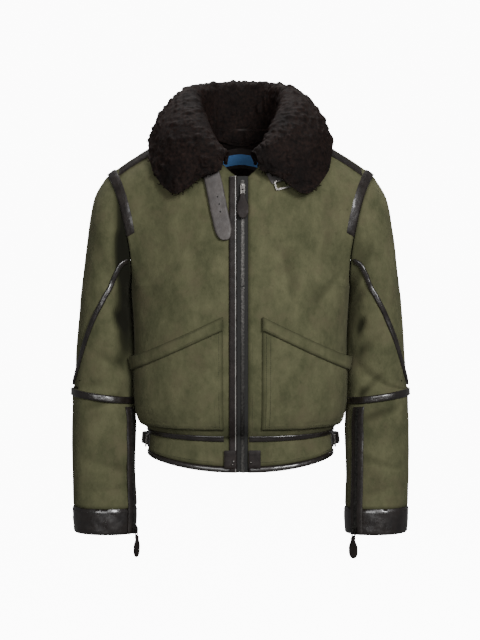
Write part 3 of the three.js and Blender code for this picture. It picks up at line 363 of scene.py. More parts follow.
# Girth runs one way round the body: -2 right front edge, -1 right side, 0 middle of the
# back, 1 left side, 2 left front edge
def body(girth, row):
    girth, row = floats(girth, row)
    side, way = np.where(girth < 0, -1, 1), np.abs(girth)
    is_front = way > 1
    across = np.clip(np.where(is_front, 2 - way, way), 0, 1)
    edge = np.where(is_front, np.where(side < 0, RIGHT_EDGE, LEFT_EDGE), 0.0)
    points = body_xyz(is_front, edge, across, row)
    normal = body_normal(is_front, edge, across, row)
    angle = angle_at(row)
    turn = np.where(is_front, 90 - angle, angle - 90)
    sleeve = sleeve_normal(1, turn, 0 * row)
    near = np.where(row > ARMPIT, smooth(across, 0.9, 1), 0)
    normal = mitre(normal, sleeve, angle, near)
    flip = np.stack([side, np.ones_like(side), np.ones_like(side)], axis=-1)
    return points * flip, normal * flip


def sleeve(side):
    def surface(turn, row):
        turn, row = floats(turn, row)
        points = sleeve_xyz(side, turn, row)
        normal = sleeve_normal(side, turn, row)
        round_turn = np.mod(turn, 360)
        is_front = round_turn <= 180
        angle = np.where(is_front, 90 - round_turn, round_turn - 270)
        other = body_normal(is_front, 0.0, 1.0 + 0 * row, row_for(angle))
        normal = mitre(normal, other, angle, 1 - smooth(row, 0, 0.4))
        points = points + [ARM_CLEAR, 0, 0]
        return points * [side, 1, 1], normal * [side, 1, 1]

    return surface


def zip_line(across, row):
    across, row = floats(across, row)
    points = body_xyz(True, float(ZIP_X), 0 * row, row).copy()
    normal = body_normal(True, float(ZIP_X), 0 * row, row).copy()
    points[..., 0] = across
    normal[..., 0] = 0
    return points, unit(normal)


def collar_xyz(at, up):
    line = {}
    for key, places in COLLAR.items():
        table = [(-places[1][0], *places[1][1:]), *places]
        point = read_rows(table, np.abs(at) + 1)
        line[key] = point * np.stack([np.sign(at + 1e-12), 1 + 0 * at, 1 + 0 * at], axis=-1)
    seam, roll, fall, edge = (line[key] for key in ("seam", "roll", "fall", "edge"))
    over = unit((fall - roll) * [1, 1, 0])
    over = scaled(over, np.linalg.norm(fall - roll, axis=-1) * ROLL_FULLNESS)
    through = (edge - roll) / 2

    t = [np.clip(up - part, COLLAR_BASE, 1)[..., None] for part in range(3)]
    low = hermite(seam, roll - seam, roll, over, t[0])
    middle = hermite(roll, over, fall, through, t[1])
    high = hermite(fall, through, edge, edge - fall, t[2])
    part = up[..., None]
    return np.where(part <= 1, low, np.where(part <= 2, middle, high))


def collar(at, up):
    at, up = floats(at, up)
    h = 0.02
    a0, a1 = np.maximum(at - h, -COLLAR_END), np.minimum(at + h, COLLAR_END)
    u0, u1 = np.maximum(up - h, COLLAR_BASE), np.minimum(up + h, 3)
    d_at = collar_xyz(a1, up) - collar_xyz(a0, up)
    d_up = collar_xyz(at, u1) - collar_xyz(at, u0)
    return collar_xyz(at, up), unit(np.cross(d_up, d_at))


# Meshes


def new_object(name, points, faces, finishes):
    mesh = bpy.data.meshes.new(name)
    faces = faces if isinstance(faces, list) else faces.tolist()
    mesh.from_pydata((np.asarray(points) * MM).tolist(), [], faces)
    for finish in finishes:
        mesh.materials.append(finish)
    mesh.shade_smooth()
    piece = bpy.data.objects.new(name, mesh)
    bpy.context.scene.collection.objects.link(piece)
    return piece


# Mesh of many copies of one small form: a row of verts for each copy, one face pattern
def repeated(name, verts, pattern, finish):
    pattern = np.array(pattern)
    starts = np.arange(len(verts))[:, None, None] * verts.shape[1]
    faces = (starts + pattern).reshape(-1, pattern.shape[1])
    return new_object(name, verts.reshape(-1, 3), faces, [finish])


# Ties a piece to its body and hides the CAD node that it stands for
def dress(piece, body_name="coat", node=None):
    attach(piece, body_name)
    if node:
        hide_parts(node)
    return piece


# Distance along the surface to the nearest border of a grid of points
def border_distance(points, wraps):
    nearest = np.full(points.shape[:2], np.inf)
    for axis in (0,) if wraps else (0, 1):
        step = np.linalg.norm(np.diff(points, axis=axis), axis=2)
        run = np.cumsum(step, axis=axis)
        run = np.concatenate([np.zeros_like(run.take([0], axis)), run], axis)
        nearest = np.minimum(nearest, np.minimum(run, run.take([-1], axis) - run))
    return nearest


# Draws the border of a grid in by half of the seam gap
def draw_in(grid, wraps):
    def pull(point, towards):
        return point + unit(towards - point) * SEAM_GAP / 2

    grid = grid.copy()
    grid[0], grid[-1] = pull(grid[0], grid[1]), pull(grid[-1], grid[-2])
    if not wraps:
        grid[:, 0], grid[:, -1] = pull(grid[:, 0], grid[:, 1]), pull(grid[:, -1], grid[:, -2])
    return grid


# Joins the points that lie on each other
def weld(piece):
    work = bmesh.new()
    work.from_mesh(piece.data)
    bmesh.ops.remove_doubles(work, verts=work.verts, dist=1e-6)
    work.to_mesh(piece.data)
    work.free()


# How far the darkening near a seam reaches, and the angle in radians past which an edge is sharp
SEAM_REACH = 7
SHARP = 1.1


# Closed wall on a grid of surface points. Its border rolls down by the first number
# of roll over the second, and the inner side takes the lining. Shade is painted shade:
# a depth that darkens the suede's colour and leaves the shape as it is. It stands for
# the CAD node of its name, unless it is in the scene alone
def shell(name, finish, at, thick, lift=0.0, relief=0.0, roll=(1.0, 4.0), wraps=False,
          lining=None, body_name="coat", in_cad=True, cut=True, gap=None, shade=0.0):
    points, normals = at
    rows, columns = points.shape[:2]
    t = np.clip(1 - border_distance(points, wraps) / roll[1], 0, 1)
    drop = roll[0] * (1 - np.sqrt(1 - t * t))
    relief = np.broadcast_to(relief, points.shape[:2])
    outer = draw_in(points + scaled(normals, lift + relief - drop), wraps)
    inner = points + scaled(normals, lift - thick + np.minimum(relief, 0))
    inner = draw_in(inner, wraps)
    index = np.arange(2 * rows * columns).reshape(2, rows, columns)
    if wraps:
        index = np.concatenate([index, index[:, :, :1]], axis=2)

    def quads(a, b, c, d):
        return np.stack([a.ravel(), b.ravel(), c.ravel(), d.ravel()], axis=1)

    def side(g):
        return quads(g[:-1, :-1], g[:-1, 1:], g[1:, 1:], g[1:, :-1])

    o, i = index
    keep = np.ones((rows - 1, o.shape[1] - 1), dtype=bool)
    if gap:
        keep[gap[1]:, gap[0]] = False
    keep = keep.ravel()
    faces = [side(o)[keep], side(i)[keep][:, ::-1]]
    faces.append(quads(o[0, 1:], o[0, :-1], i[0, :-1], i[0, 1:]))
    faces.append(quads(o[-1, :-1], o[-1, 1:], i[-1, 1:], i[-1, :-1]))
    if not wraps:
        faces.append(quads(o[:-1, 0], o[1:, 0], i[1:, 0], i[:-1, 0]))
        faces.append(quads(o[1:, -1], o[:-1, -1], i[:-1, -1], i[1:, -1]))
    if gap:
        a, b = (index[:, gap[1]:, gap[0] + k] for k in (0, 1))
        faces.append(quads(a[0, 1:], a[0, :-1], a[1, :-1], a[1, 1:]))
        faces.append(quads(b[0, :-1], b[0, 1:], b[1, 1:], b[1, :-1]))
    inner_from = len(faces[0])
    faces = np.concatenate(faces)
    first = outer.reshape(-1, 3)[faces[: len(faces) // 4 : 7]]
    facing = np.cross(first[:, 1] - first[:, 0], first[:, 2] - first[:, 0])
    own = normals.reshape(-1, 3)[faces[: len(faces) // 4 : 7, 0]]
    if np.sum(facing * own) < 0:
        faces = faces[:, ::-1]
    everything = np.concatenate([outer.reshape(-1, 3), inner.reshape(-1, 3)])
    piece = new_object(name, everything, faces, [finish] + ([lining] if lining else []))
    if lining:
        which = np.zeros(len(faces), dtype=np.int32)
        which[inner_from:] = 1
        piece.data.polygons.foreach_set("material_index", which)
    # Fields for the colour: nearness to the border, and the crease field, which is the relief less
    # the painted shade; the suede darkens with it as painted shade in creases and hollows
    seam = np.exp(-border_distance(points, wraps) / SEAM_REACH)
    fields = {"seam": seam, "crease_shade": relief - shade}
    for key, values in fields.items():
        attribute = piece.data.attributes.new(key, "FLOAT", "POINT")
        attribute.data.foreach_set("value", np.concatenate([values.ravel(), 0 * values.ravel()]))
    if gap:
        weld(piece)
    piece.data.set_sharp_from_angle(angle=SHARP)
    dress(piece, body_name, name if in_cad else None)
    if cut:
        declare_cut(points, wraps)


# Wall of leather with fine wrinkles
def leather_shell(name, finish, at, thick, lift, roll, wrinkles=1.0, **rest):
    shell(name, finish, at, thick, lift, leather_relief(at[0], wrinkles), roll, **rest)


# Least area of a cut, as a share of its width times its length
LEAST_AREA = 0.31


# Works out the piece's flat cut, from its longest row and column and its area, and does not keep it
def declare_cut(points, wraps):
    closed = np.concatenate([points, points[:, :1]], axis=1) if wraps else points
    width = np.linalg.norm(np.diff(closed, axis=1), axis=2).sum(axis=1).max() * MM
    length = np.linalg.norm(np.diff(closed, axis=0), axis=2).sum(axis=0).max() * MM
    across = closed[:-1, 1:] - closed[1:, :-1]
    down = closed[1:, 1:] - closed[:-1, :-1]
    area = np.linalg.norm(np.cross(across, down), axis=2).sum() / 2 * MM * MM
    area = float(np.clip(area, LEAST_AREA * width * length, width * length))


# Distance along a line of points, from its first point to each
def run_along(points):
    return np.concatenate([[0], np.cumsum(np.linalg.norm(np.diff(points, axis=0), axis=1))])


# Even steps of a surface's second number along one line of it
def even_rows(surface, fixed, low, high, step):
    fine = np.linspace(low, high, 300)
    points, _ = surface(fixed, fine)
    run = run_along(points)
    return np.interp(np.linspace(0, run[-1], max(int(run[-1] / step), 2) + 1), run, fine)


def on_grid(surface, columns, rows):
    return surface(*np.meshgrid(columns, rows))


def crease_depth(points, normals, creases, facing):
    depth = np.zeros(points.shape[:-1])
    x, z = points[..., 0], points[..., 2]
    for x0, z0, x1, z1, width, size in creases:
        dx, dz = x1 - x0, z1 - z0
        t = np.clip(((x - x0) * dx + (z - z0) * dz) / (dx * dx + dz * dz), 0, 1)
        away = np.hypot(x - x0 - t * dx, z - z0 - t * dz)
        depth += size * np.exp(-((away / width) ** 2)) * (0.6 + 0.4 * np.sin(np.pi * t))
    return depth * smooth(normals[..., 1] * facing, 0.05, 0.4)


# Share of the relief kept: none where the sleeve rests on the body
UNDERARM = {"x": 211, "half": 13}


def away_from_underarm(points):
    near = np.exp(-(((np.abs(points[..., 0]) - UNDERARM["x"]) / UNDERARM["half"]) ** 4))
    z = points[..., 2]
    return 1 - near * smooth(z, -480, -440) * (1 - smooth(z, -110, -70))


def suede_relief(at, creases=True):
    points, normals = at
    relief = 0.9 * lattice_noise(points, 62, 1) + 0.5 * lattice_noise(points, 27, 2)
    relief += 0.22 * lattice_noise(points, 10, 3)
    if creases:
        relief -= crease_depth(points, normals, FRONT_CREASES + ARM_CREASES, -1)
        relief -= crease_depth(points, normals, BACK_CREASES, 1)
        mirrored = [(-a, b - 14, -c, d - 8, w, s) for a, b, c, d, w, s in ARM_CREASES]
        relief -= crease_depth(points, normals, mirrored, 1)
    return relief * away_from_underarm(points)


def leather_relief(points, amount=1.0):
    wrinkles = 0.28 * lattice_noise(points, 9, 5) + 0.16 * lattice_noise(points, 4, 6)
    return amount * (wrinkles + 0.3 * lattice_noise(points, 24, 7))


def fleece_relief(points, amount=1.0):
    lumps = np.abs(lattice_noise(points, 13, 11)) + 0.8 * np.abs(lattice_noise(points, 7, 12))
    return amount * (2.8 - 5.6 * lumps)


# Stitches, joined into one mesh for each finish
STITCH = {"pitch": 3.8, "long": 2.7, "half": 0.42}
STITCHES = {"suede": [], "leather": []}


def stitch(kind, surface, a, b, lift):
    a, b = floats(a, b)
    points, normals = surface(a, b)
    run = run_along(points)
    at = np.arange(STITCH["pitch"] / 2, run[-1], STITCH["pitch"])
    a, b = np.interp(at, run, a), np.interp(at, run, b)
    points, normals = surface(a, b)
    if len(points) < 3:
        return
    along = unit(np.gradient(points, axis=0))
    STITCHES[kind].append((points + scaled(normals, lift + 0 * at), normals, along))


def make_stitches(name, kind, finish):
    points, normals, along = (np.concatenate(part) for part in zip(*STITCHES[kind]))
    across = np.cross(normals, along)
    half, long = STITCH["half"], STITCH["long"]
    rings = []
    for at, size in ((-0.5, 0), (-0.3, 1), (0.3, 1), (0.5, 0)):
        middle = points + along * at * long - normals * (0.25 if size == 0 else 0)
        if size == 0:
            rings.append(middle[:, None])
            continue
        corners = [across * half, normals * half, -across * half, -normals * half]
        rings.append(np.stack([middle + corner for corner in corners], axis=1))
    verts = np.concatenate(rings, axis=1)
    pattern = []
    for k in range(4):
        n = (k + 1) % 4
        pattern += [(0, 1 + n, 1 + k), (9, 5 + k, 5 + n)]
        pattern += [(1 + k, 1 + n, 5 + n), (1 + k, 5 + n, 5 + k)]
    dress(repeated(name, verts, pattern, finish))


def add_node(finish, kind, values=(), **settings):
    node = finish.node_tree.nodes.new(kind)
    for key, value in settings.items():
        setattr(node, key, value)
    for socket, value in values:
        if isinstance(value, bpy.types.NodeSocket):
            finish.node_tree.links.new(value, node.inputs[socket])
        else:
            node.inputs[socket].default_value = value
    return node


def new_finish(name, **constants):
    finish = bpy.data.materials.new(name)
    finish.use_nodes = True
    shader = finish.node_tree.nodes["Principled BSDF"]
    for key, value in constants.items():
        shader.inputs[key.replace("_", " ").title().replace("Ior", "IOR")].default_value = value
    place = add_node(finish, "ShaderNodeTexCoord").outputs["Object"]
    return finish, shader, place


def noise(finish, place, size, detail=3.0, rough=0.55, low=0.3, high=0.7):
    values = [("Vector", place), ("Scale", 1 / size), ("Detail", detail), ("Roughness", rough)]
    node = add_node(finish, "ShaderNodeTexNoise", values)
    values = [("Value", node.outputs[0]), ("From Min", low), ("From Max", high)]
    return add_node(finish, "ShaderNodeMapRange", values).outputs[0]


def mix(finish, factor, a, b, blend="MIX"):
    values = [(0, factor), (6, a), (7, b)]
    return add_node(finish, "ShaderNodeMix", values, data_type="RGBA", blend_type=blend).outputs[2]


def colour(r, g, b):
    return (r, g, b, 1)


def field(finish, name, low, high):
    node = add_node(finish, "ShaderNodeAttribute", attribute_name=name)
    values = [("Value", node.outputs["Fac"]), ("From Min", low), ("From Max", high)]
    return add_node(finish, "ShaderNodeMapRange", values).outputs[0]


def link(finish, source, target):
    finish.node_tree.links.new(source, target)


def bump(finish, shader, heights):
    below = None
    for height, strength, distance in heights:
        values = [("Height", height), ("Strength", strength), ("Distance", distance)]
        if below:
            values.append(("Normal", below))
        below = add_node(finish, "ShaderNodeBump", values).outputs[0]
    link(finish, below, shader.inputs["Normal"])


def suede_finish(name, dark, light, patch, shade, deep):
    finish, shader, place = new_finish(
        name, roughness=0.93, specular_ior_level=0.2, sheen_weight=0.08,
        sheen_roughness=0.45, sheen_tint=colour(0.62, 0.6, 0.42),
    )
    stretched = add_node(
        finish, "ShaderNodeMapping", [("Vector", place), ("Scale", (1, 1, 0.7))],
    ).outputs[0]
    tone = mix(finish, noise(finish, stretched, 0.045, 8, 0.72, 0.36, 0.64), dark, light)
    tone = mix(finish, noise(finish, place, 0.05, 7, 0.7, 0.5, 0.78), tone, patch)
    tone = mix(finish, noise(finish, place, 0.013, 5, 0.7, 0.6, 1.0), tone, shade)
    # Painted shade: darker toward the shade colour where the crease field falls
    tone = mix(finish, field(finish, "crease_shade", -1.2, -6), tone, shade)
    # Darker near the piece's border
    tone = mix(finish, field(finish, "seam", 0.35, 1.3), tone, shade)
    # Deeper painted shade where the crease field falls furthest
    tone = mix(finish, field(finish, "crease_shade", -4, -10), tone, deep)
    link(finish, tone, shader.inputs["Base Color"])
    bump(finish, shader, [
        (noise(finish, place, 0.0016, 2, 0.6, 0.2, 0.8), 0.25, 0.0006),
        (noise(finish, stretched, 0.007, 3, 0.6, 0.2, 0.8), 0.22, 0.0016),
    ])
    return finish


def leather_finish(name, dark, light, roughness, grain=0.0014, coat=0.25, shine=0.5):
    finish, shader, place = new_finish(
        name, coat_weight=coat, coat_roughness=0.14, specular_ior_level=shine,
    )
    tone = mix(finish, noise(finish, place, 0.02, 4, 0.6), dark, light)
    link(finish, tone, shader.inputs["Base Color"])
    spread = add_node(finish, "ShaderNodeMapRange", [
        ("Value", noise(finish, place, 0.012, 3)), ("To Min", roughness - 0.09),
        ("To Max", roughness + 0.12),
    ]).outputs[0]
    link(finish, spread, shader.inputs["Roughness"])
    values = [("Vector", place), ("Scale", 1 / grain)]
    cells = add_node(finish, "ShaderNodeTexVoronoi", values).outputs[0]
    bump(finish, shader, [
        (noise(finish, place, 0.006, 4, 0.6, 0.2, 0.8), 0.35, 0.0011),
        (cells, 0.3, 0.0003),
    ])
    return finish


def fleece_finish(name, dark, light, glow):
    finish, shader, place = new_finish(
        name, roughness=0.7, specular_ior_level=0.12, sheen_weight=0.03,
        sheen_roughness=0.4, sheen_tint=glow,
    )
    # The fine tone at the size of the curls is partly the fleece's own random tone and partly
    # painted light and shade: its contrast is raised to stand in for lit tips and shaded crevices,
    # though it follows noise and not the curls
    tone = mix(finish, noise(finish, place, 0.006, 3, 0.65, 0.34, 0.7), dark, light)
    tone = mix(finish, noise(finish, place, 0.05, 2, 0.5, 0.45, 0.8), tone, dark)
    link(finish, tone, shader.inputs["Base Color"])
    bump(finish, shader, [(noise(finish, place, 0.0025, 3, 0.7, 0.2, 0.8), 0.6, 0.002)])
    return finish


# Suede colours: dark and light tones and brown patches of its own; a shade colour for small dark
# spots, for the darkening near borders and for painted shade in creases; and a deep colour, painted
# shade in the deepest creases and in the sleeve valley
suede = suede_finish(
    "suede", colour(0.05, 0.053, 0.026), colour(0.096, 0.095, 0.05),
    colour(0.084, 0.074, 0.042), colour(0.021, 0.022, 0.0095), colour(0.005, 0.005, 0.002),
)
fleece = fleece_finish(
    "fleece", colour(0.0016, 0.0008, 0.0006), colour(0.0155, 0.0082, 0.0062),
    colour(0.45, 0.28, 0.24),
)
dark_leather = leather_finish(
    "dark_leather", colour(0.006, 0.0045, 0.0042), colour(0.016, 0.012, 0.0105), 0.33, coat=0.7,
)
tape_leather = leather_finish(
    "tape_leather", colour(0.008, 0.006, 0.0055), colour(0.02, 0.0155, 0.0135), 0.46, coat=0.22,
    shine=0.35,
)
strap_leather = leather_finish(
    "strap_leather", colour(0.037, 0.031, 0.029), colour(0.064, 0.055, 0.051), 0.6, coat=0.0,
)
facing_leather = leather_finish(
    "facing_leather", colour(0.009, 0.0065, 0.006), colour(0.02, 0.015, 0.0135), 0.6, coat=0.0,
    shine=0.2,
)
# Pale leather of the piping along the zip: its pale colour is a painted highlight on the placket's
# edge
piping_highlight_leather = leather_finish(
    "piping_highlight_leather", colour(0.1, 0.095, 0.09), colour(0.34, 0.33, 0.31), 0.4, coat=0.5,
)


def plain_finish(name, dark, light, size, **constants):
    finish, shader, place = new_finish(name, **constants)
    link(finish, mix(finish, noise(finish, place, size), dark, light), shader.inputs["Base Color"])
    bump(finish, shader, [(noise(finish, place, size / 3), 0.15, size / 8)])
    return finish


metal = plain_finish(
    "dark_metal", colour(0.06, 0.057, 0.054), colour(0.16, 0.15, 0.14), 0.004,
    metallic=1.0, roughness=0.3,
)
teeth_metal = plain_finish(
    "teeth_metal", colour(0.022, 0.021, 0.02), colour(0.09, 0.086, 0.08), 0.004,
    metallic=0.8, roughness=0.42,
)
zip_cloth = plain_finish(
    "zip_cloth", colour(0.004, 0.004, 0.004), colour(0.012, 0.012, 0.01), 0.0015, roughness=0.85,
)
suede_thread = plain_finish(
    "suede_thread", colour(0.02, 0.02, 0.009), colour(0.036, 0.035, 0.017), 0.002, roughness=0.8,
)
leather_thread = plain_finish(
    "leather_thread", colour(0.008, 0.006, 0.005), colour(0.02, 0.016, 0.014), 0.002,
    roughness=0.6,
)
label_cloth = plain_finish(
    "label_cloth", colour(0.03, 0.105, 0.26), colour(0.04, 0.135, 0.32), 0.003, roughness=0.7,
)
# Near-black discs for the strap's holes: painted shade
hole_shade_finish = plain_finish(
    "hole_shade", colour(0.003, 0.003, 0.003), colour(0.006, 0.005, 0.005), 0.002, roughness=0.9,
)

SIDES = [(-1, "right"), (1, "left")]
STEP = 4.4
COLUMNS = 58

# Seam stitched along the left front edge: its distance, width and depth
EDGE_SEAM = {"x": 22.0, "wide": 1.6, "deep": 0.9}

# Fronts, back and waistband
BACK_NECK_ROW = ARMPIT + (90 + BACK_NECK_ANGLE) / 180
for side, word in SIDES:
    rows = even_rows(body, side * 1.6, WAIST, SHOULDER, STEP)
    at = on_grid(body, side * np.linspace(2, SIDE_SEAM, COLUMNS), rows)
    relief = suede_relief(at)
    if side > 0:
        away = (at[0][..., 0] - EDGE_SEAM["x"]) / EDGE_SEAM["wide"]
        relief -= EDGE_SEAM["deep"] * np.exp(-(away**2))
    shell(f"front_{word}", suede, at, HIDE, relief=relief, roll=(1.6, 5),
          lining=fleece)
half_columns = np.linspace(1e-9, 1, COLUMNS)
rows = even_rows(body, 0.5, WAIST, SHOULDER, STEP)
split = int(np.searchsorted(rows, BACK_NECK_ROW))
rows[split] = BACK_NECK_ROW
at = on_grid(body, np.concatenate([-half_columns[::-1], half_columns]), rows)
middle = np.abs(at[0][..., 0]) < 1e-3
at[1][middle, 0] = 0
shell("back", suede, at, HIDE, relief=suede_relief(at), roll=(1.6, 5), lining=fleece,
      gap=(COLUMNS - 1, split))

# Piece of the band, its two ends and where its tape starts
BAND = [("front_right", -2, -SIDE_SEAM, -1.91), ("back", -1, 1, -1),
        ("front_left", 2, SIDE_SEAM, 1.99)]
for word, start, end, tape_start in BAND:
    count = 2 * COLUMNS if word == "back" else COLUMNS
    at = on_grid(body, np.linspace(start, end, count), even_rows(body, start, BAND_LOW, WAIST, 4))
    relief = suede_relief(at, creases=False)
    relief += 0.8 * lattice_noise(at[0] * [1, 1, 0.3], 21, 21)
    shell(f"band_{word}", suede, at, HIDE, relief=relief, roll=(1.4, 5), lining=fleece)
    at = on_grid(body, np.linspace(tape_start, end, count), np.linspace(2.72, 3.4, 9))
    leather_shell(f"waist_tape_{word}", dark_leather, at, LEATHER, LAY_GAP + 0.7 + LEATHER,
                  (1.5, 3.5))
    girth = np.linspace(tape_start + 0.01, end, 90)
    for row in (2.78, 3.33):
        stitch("leather", body, girth, row, LAY_GAP + 0.9 + LEATHER)
    stitch("suede", body, np.linspace(start, end, 90), 1.32, 0.2)
at = on_grid(body, np.linspace(-2, 2, 240), np.linspace(HEM, BAND_LOW, 7))
leather_shell("hem_binding", dark_leather, at, HIDE + 3, 1.5, (2.6, 5), 1.3)
stitch("leather", body, np.linspace(-1.99, 1.99, 400), 0.82, 1.4)


def across_at(edge, x, row):
    x, row = floats(x, row)
    return solve(0, 1, lambda a: body_xyz(True, float(edge), a, row)[..., 0] < x, x.shape)


# Place on a front from the distance to the middle and the height
def front_place(side, x, z):
    x, z = floats(x, z)
    edge = EDGE[side]
    across, row = np.full(x.shape, 0.4), np.full(x.shape, float(ARMPIT))
    for _ in range(10):
        row = solve(HEM, SHOULDER, lambda r: body_xyz(True, edge, across, r)[..., 2] < z, x.shape)
        across = solve(0, 1, lambda a: body_xyz(True, edge, a, row)[..., 0] < x, x.shape)
    return side * (2 - across), row


# Patch pockets with a slanted welt along the mouth
POCKET = {"reach": 37, "outer": 0.8, "inner_top": -270, "outer_top": -350, "low": 4.4,
          "thick": 4, "welt": 26, "flare": 5}
for side, word in SIDES:
    edge = EDGE[side]
    inner = POCKET["reach"] + side * ZIP_X
    start = float(front_place(side, inner, POCKET["inner_top"])[0])
    end = side * (2 - POCKET["outer"])
    outer_x = float(body_xyz(True, edge, POCKET["outer"], 8.0)[0])

    def top(along):
        x = body_xyz(True, edge, 2 - np.abs(lerp(start, end, along)), 8.0 + 0 * along)[..., 0]
        return lerp(POCKET["inner_top"], POCKET["outer_top"], (x - inner) / (outer_x - inner))

    def row_at(along, z):
        across = 2 - np.abs(lerp(start, end, along))

        def is_below(row):
            return body_xyz(True, edge, across, row)[..., 2] < z

        return solve(WAIST, SHOULDER, is_below, z.shape)

    def pocket(along, up):
        along, up = np.broadcast_arrays(along, up)
        low = POCKET["low"] + 0.34 * smooth(along, 0.86, 1) ** 2
        row = lerp(low, row_at(along, top(along)), up**0.8)
        return body(lerp(start, end, along), row)

    def welt(along, up):
        along, up = np.broadcast_arrays(along, up)
        z = top(along) - POCKET["welt"] * (1 - up) + 1
        return body(lerp(start, end, along), row_at(along, z))

    at = on_grid(pocket, np.linspace(0, 1, 44), np.linspace(0, 1, 36) ** 1.1)
    lines = sum(np.exp(-(((border_distance(at[0], False) - d) / 1.5) ** 2)) for d in (6, 12))
    relief = suede_relief(at, creases=False) - 0.7 * lines
    relief += 2.2 * smooth(border_distance(at[0], False), 5, 45)
    shell(f"pocket_{word}", suede, at, POCKET["thick"], lift=LAY_GAP + 0.3 + POCKET["thick"],
          relief=relief, roll=(2.2, 5))
    along, up = np.meshgrid(np.linspace(0, 1, 52), np.linspace(0, 1, 9))
    at = welt(along, up)
    lift = 2 * LAY_GAP + POCKET["thick"] + 3 + POCKET["flare"] * up * along**3 + 1.2
    shell(f"pocket_welt_{word}", suede, at, 3 + 1.0 * (1 - along), lift=lift,
          relief=suede_relief(at, creases=False), roll=(1.6, 4))
    rise = LAY_GAP + 0.4 + POCKET["thick"]
    for inset in (0.034, 0.07):
        stitch("suede", pocket, inset, np.linspace(0.05, 0.93, 60), rise)
        stitch("suede", pocket, 1 - inset, np.linspace(0.12, 0.93, 60), rise)
        stitch("suede", pocket, np.linspace(0.03, 0.97, 60), inset, rise)
    for height in (0.2, 0.86):
        rise = 2 * LAY_GAP + POCKET["thick"] + 4.2
        stitch("suede", welt, np.linspace(0.02, 0.98, 60), height, rise)

# Front edge and zip
ZIP_TOP_ROW = ARMPIT + (90 + FRONT_NECK_ANGLE) / 180
ZIP_FOOT_ROW = 0.1


def strip_on_front(side, x_from, x_to, low, high, columns, step):
    edge = EDGE[side]
    rows = even_rows(body, side * 1.98, low, high, step)
    x, row = np.meshgrid(np.linspace(x_from, x_to, columns), rows)
    return body(side * (2 - across_at(edge, x, row)), row)


PLACKET = {"from": 7.02, "to": 21.5, "piping_from": 8.1, "piping_to": 10.7, "stitch": 18.6}
at = strip_on_front(-1, PLACKET["from"], PLACKET["to"], ZIP_FOOT_ROW, ZIP_TOP_ROW, 12, 3.4)
leather_shell("placket", facing_leather, at, LEATHER + 3, LAY_GAP + 1.6 + LEATHER, (1.4, 3), 0.8)
# Piping: a real bead of leather along the zip, coloured pale as a painted highlight
at = strip_on_front(-1, PLACKET["piping_from"], PLACKET["piping_to"], ZIP_FOOT_ROW,
                    ZIP_TOP_ROW, 5, 3.4)
leather_shell("placket_piping", piping_highlight_leather, at, 2, LAY_GAP + 1.8 + LEATHER, (1.0, 1.3), 0.5,
              in_cad=False, cut=False)


def front_line(side):
    def line(across, row):
        return body(side * (2 - across_at(EDGE[side], across, row)), row)

    return line


stitch("leather", front_line(-1), PLACKET["stitch"], np.linspace(0.15, ZIP_TOP_ROW, 160),
       LAY_GAP + 1.8 + LEATHER)
stitch("suede", front_line(1), EDGE_SEAM["x"], np.linspace(1.1, 9.45, 160), -0.5)

TAPE_SUNK = -2.4
at = on_grid(zip_line, np.linspace(-RIGHT_EDGE, LEFT_EDGE, 22),
             even_rows(zip_line, 0, ZIP_FOOT_ROW, ZIP_TOP_ROW, 3))
shell("zip_tape", zip_cloth, at, 1.4, lift=TAPE_SUNK, roll=(0.3, 1))

# Flap behind the zip, which shuts the slits beside its tape
FLAP_BEYOND = 6
at = on_grid(zip_line, np.linspace(-RIGHT_EDGE - FLAP_BEYOND, LEFT_EDGE + FLAP_BEYOND, 12),
             even_rows(zip_line, 0, ZIP_FOOT_ROW, ZIP_TOP_ROW - 0.01, 5))
shell("zip_flap", zip_cloth, at, 1, lift=-HIDE - 0.4, roll=(0.3, 1), in_cad=False)

TOOTH = {"pitch": 2.6, "wide": 3.4, "tall": 1.5, "deep": 1.9}


# Interlocked teeth along a line of points: each is a short block with a blunt head
def zip_teeth(name, surface, across, low, high, lift, wide):
    rows = even_rows(surface, across, low, high, TOOTH["pitch"] / 2)
    points, normals = surface(np.full(len(rows), float(across)), rows)
    along = unit(np.gradient(points, axis=0))
    right = np.cross(along, normals)
    hand = np.where(np.arange(len(rows)) % 2 == 0, 1, -1)[:, None]
    middle = points + normals * lift + right * hand * wide * 0.2
    verts = []
    for out in (0, TOOTH["deep"]):
        profile = [(-0.5, -0.5), (-0.5, 0.5), (0.3, 0.4), (0.55, 0.2), (0.55, -0.2), (0.3, -0.4)]
        for x, z in profile:
            shrink = 1 - 0.12 * (out > 0)
            verts.append(middle - right * hand * x * wide * shrink
                         + along * z * TOOTH["tall"] * shrink + normals * out)
    verts = np.stack(verts, axis=1)
    pattern = [(0, k, k + 1) for k in range(1, 5)] + [(6, 7 + k, 6 + k) for k in range(1, 5)]
    for k in range(6):
        n = (k + 1) % 6
        pattern += [(k, 6 + n, n), (k, 6 + k, 6 + n)]
    piece = repeated(name, verts, pattern, teeth_metal)
    work = bmesh.new()
    work.from_mesh(piece.data)
    bmesh.ops.recalc_face_normals(work, faces=work.faces)
    work.to_mesh(piece.data)
    work.free()
    piece.data.shade_flat()
    dress(piece, node=name)


zip_teeth("zip_teeth", zip_line, ZIP_X, 0.12, ZIP_TOP_ROW - 0.02, TAPE_SUNK + 0.1, 5.2)

# Leather squares at the foot of the zip: heights, reach across and lift of each side
PATCH = {"low": -557, "high": -522, -1: (8.4, 31), 1: (15, 38)}
PATCH_LIFT = {-1: LAY_GAP + 4.4 + LEATHER, 1: LAY_GAP + 1.6 + LEATHER}
for side, word in SIDES:
    x, z = np.meshgrid(np.linspace(*PATCH[side], 8), np.linspace(PATCH["low"], PATCH["high"], 10))
    at = body(*front_place(side, x, z))
    leather_shell(f"hem_patch_{word}", facing_leather, at, LEATHER, PATCH_LIFT[side],
                  (1.2, 2.5), 0.7)

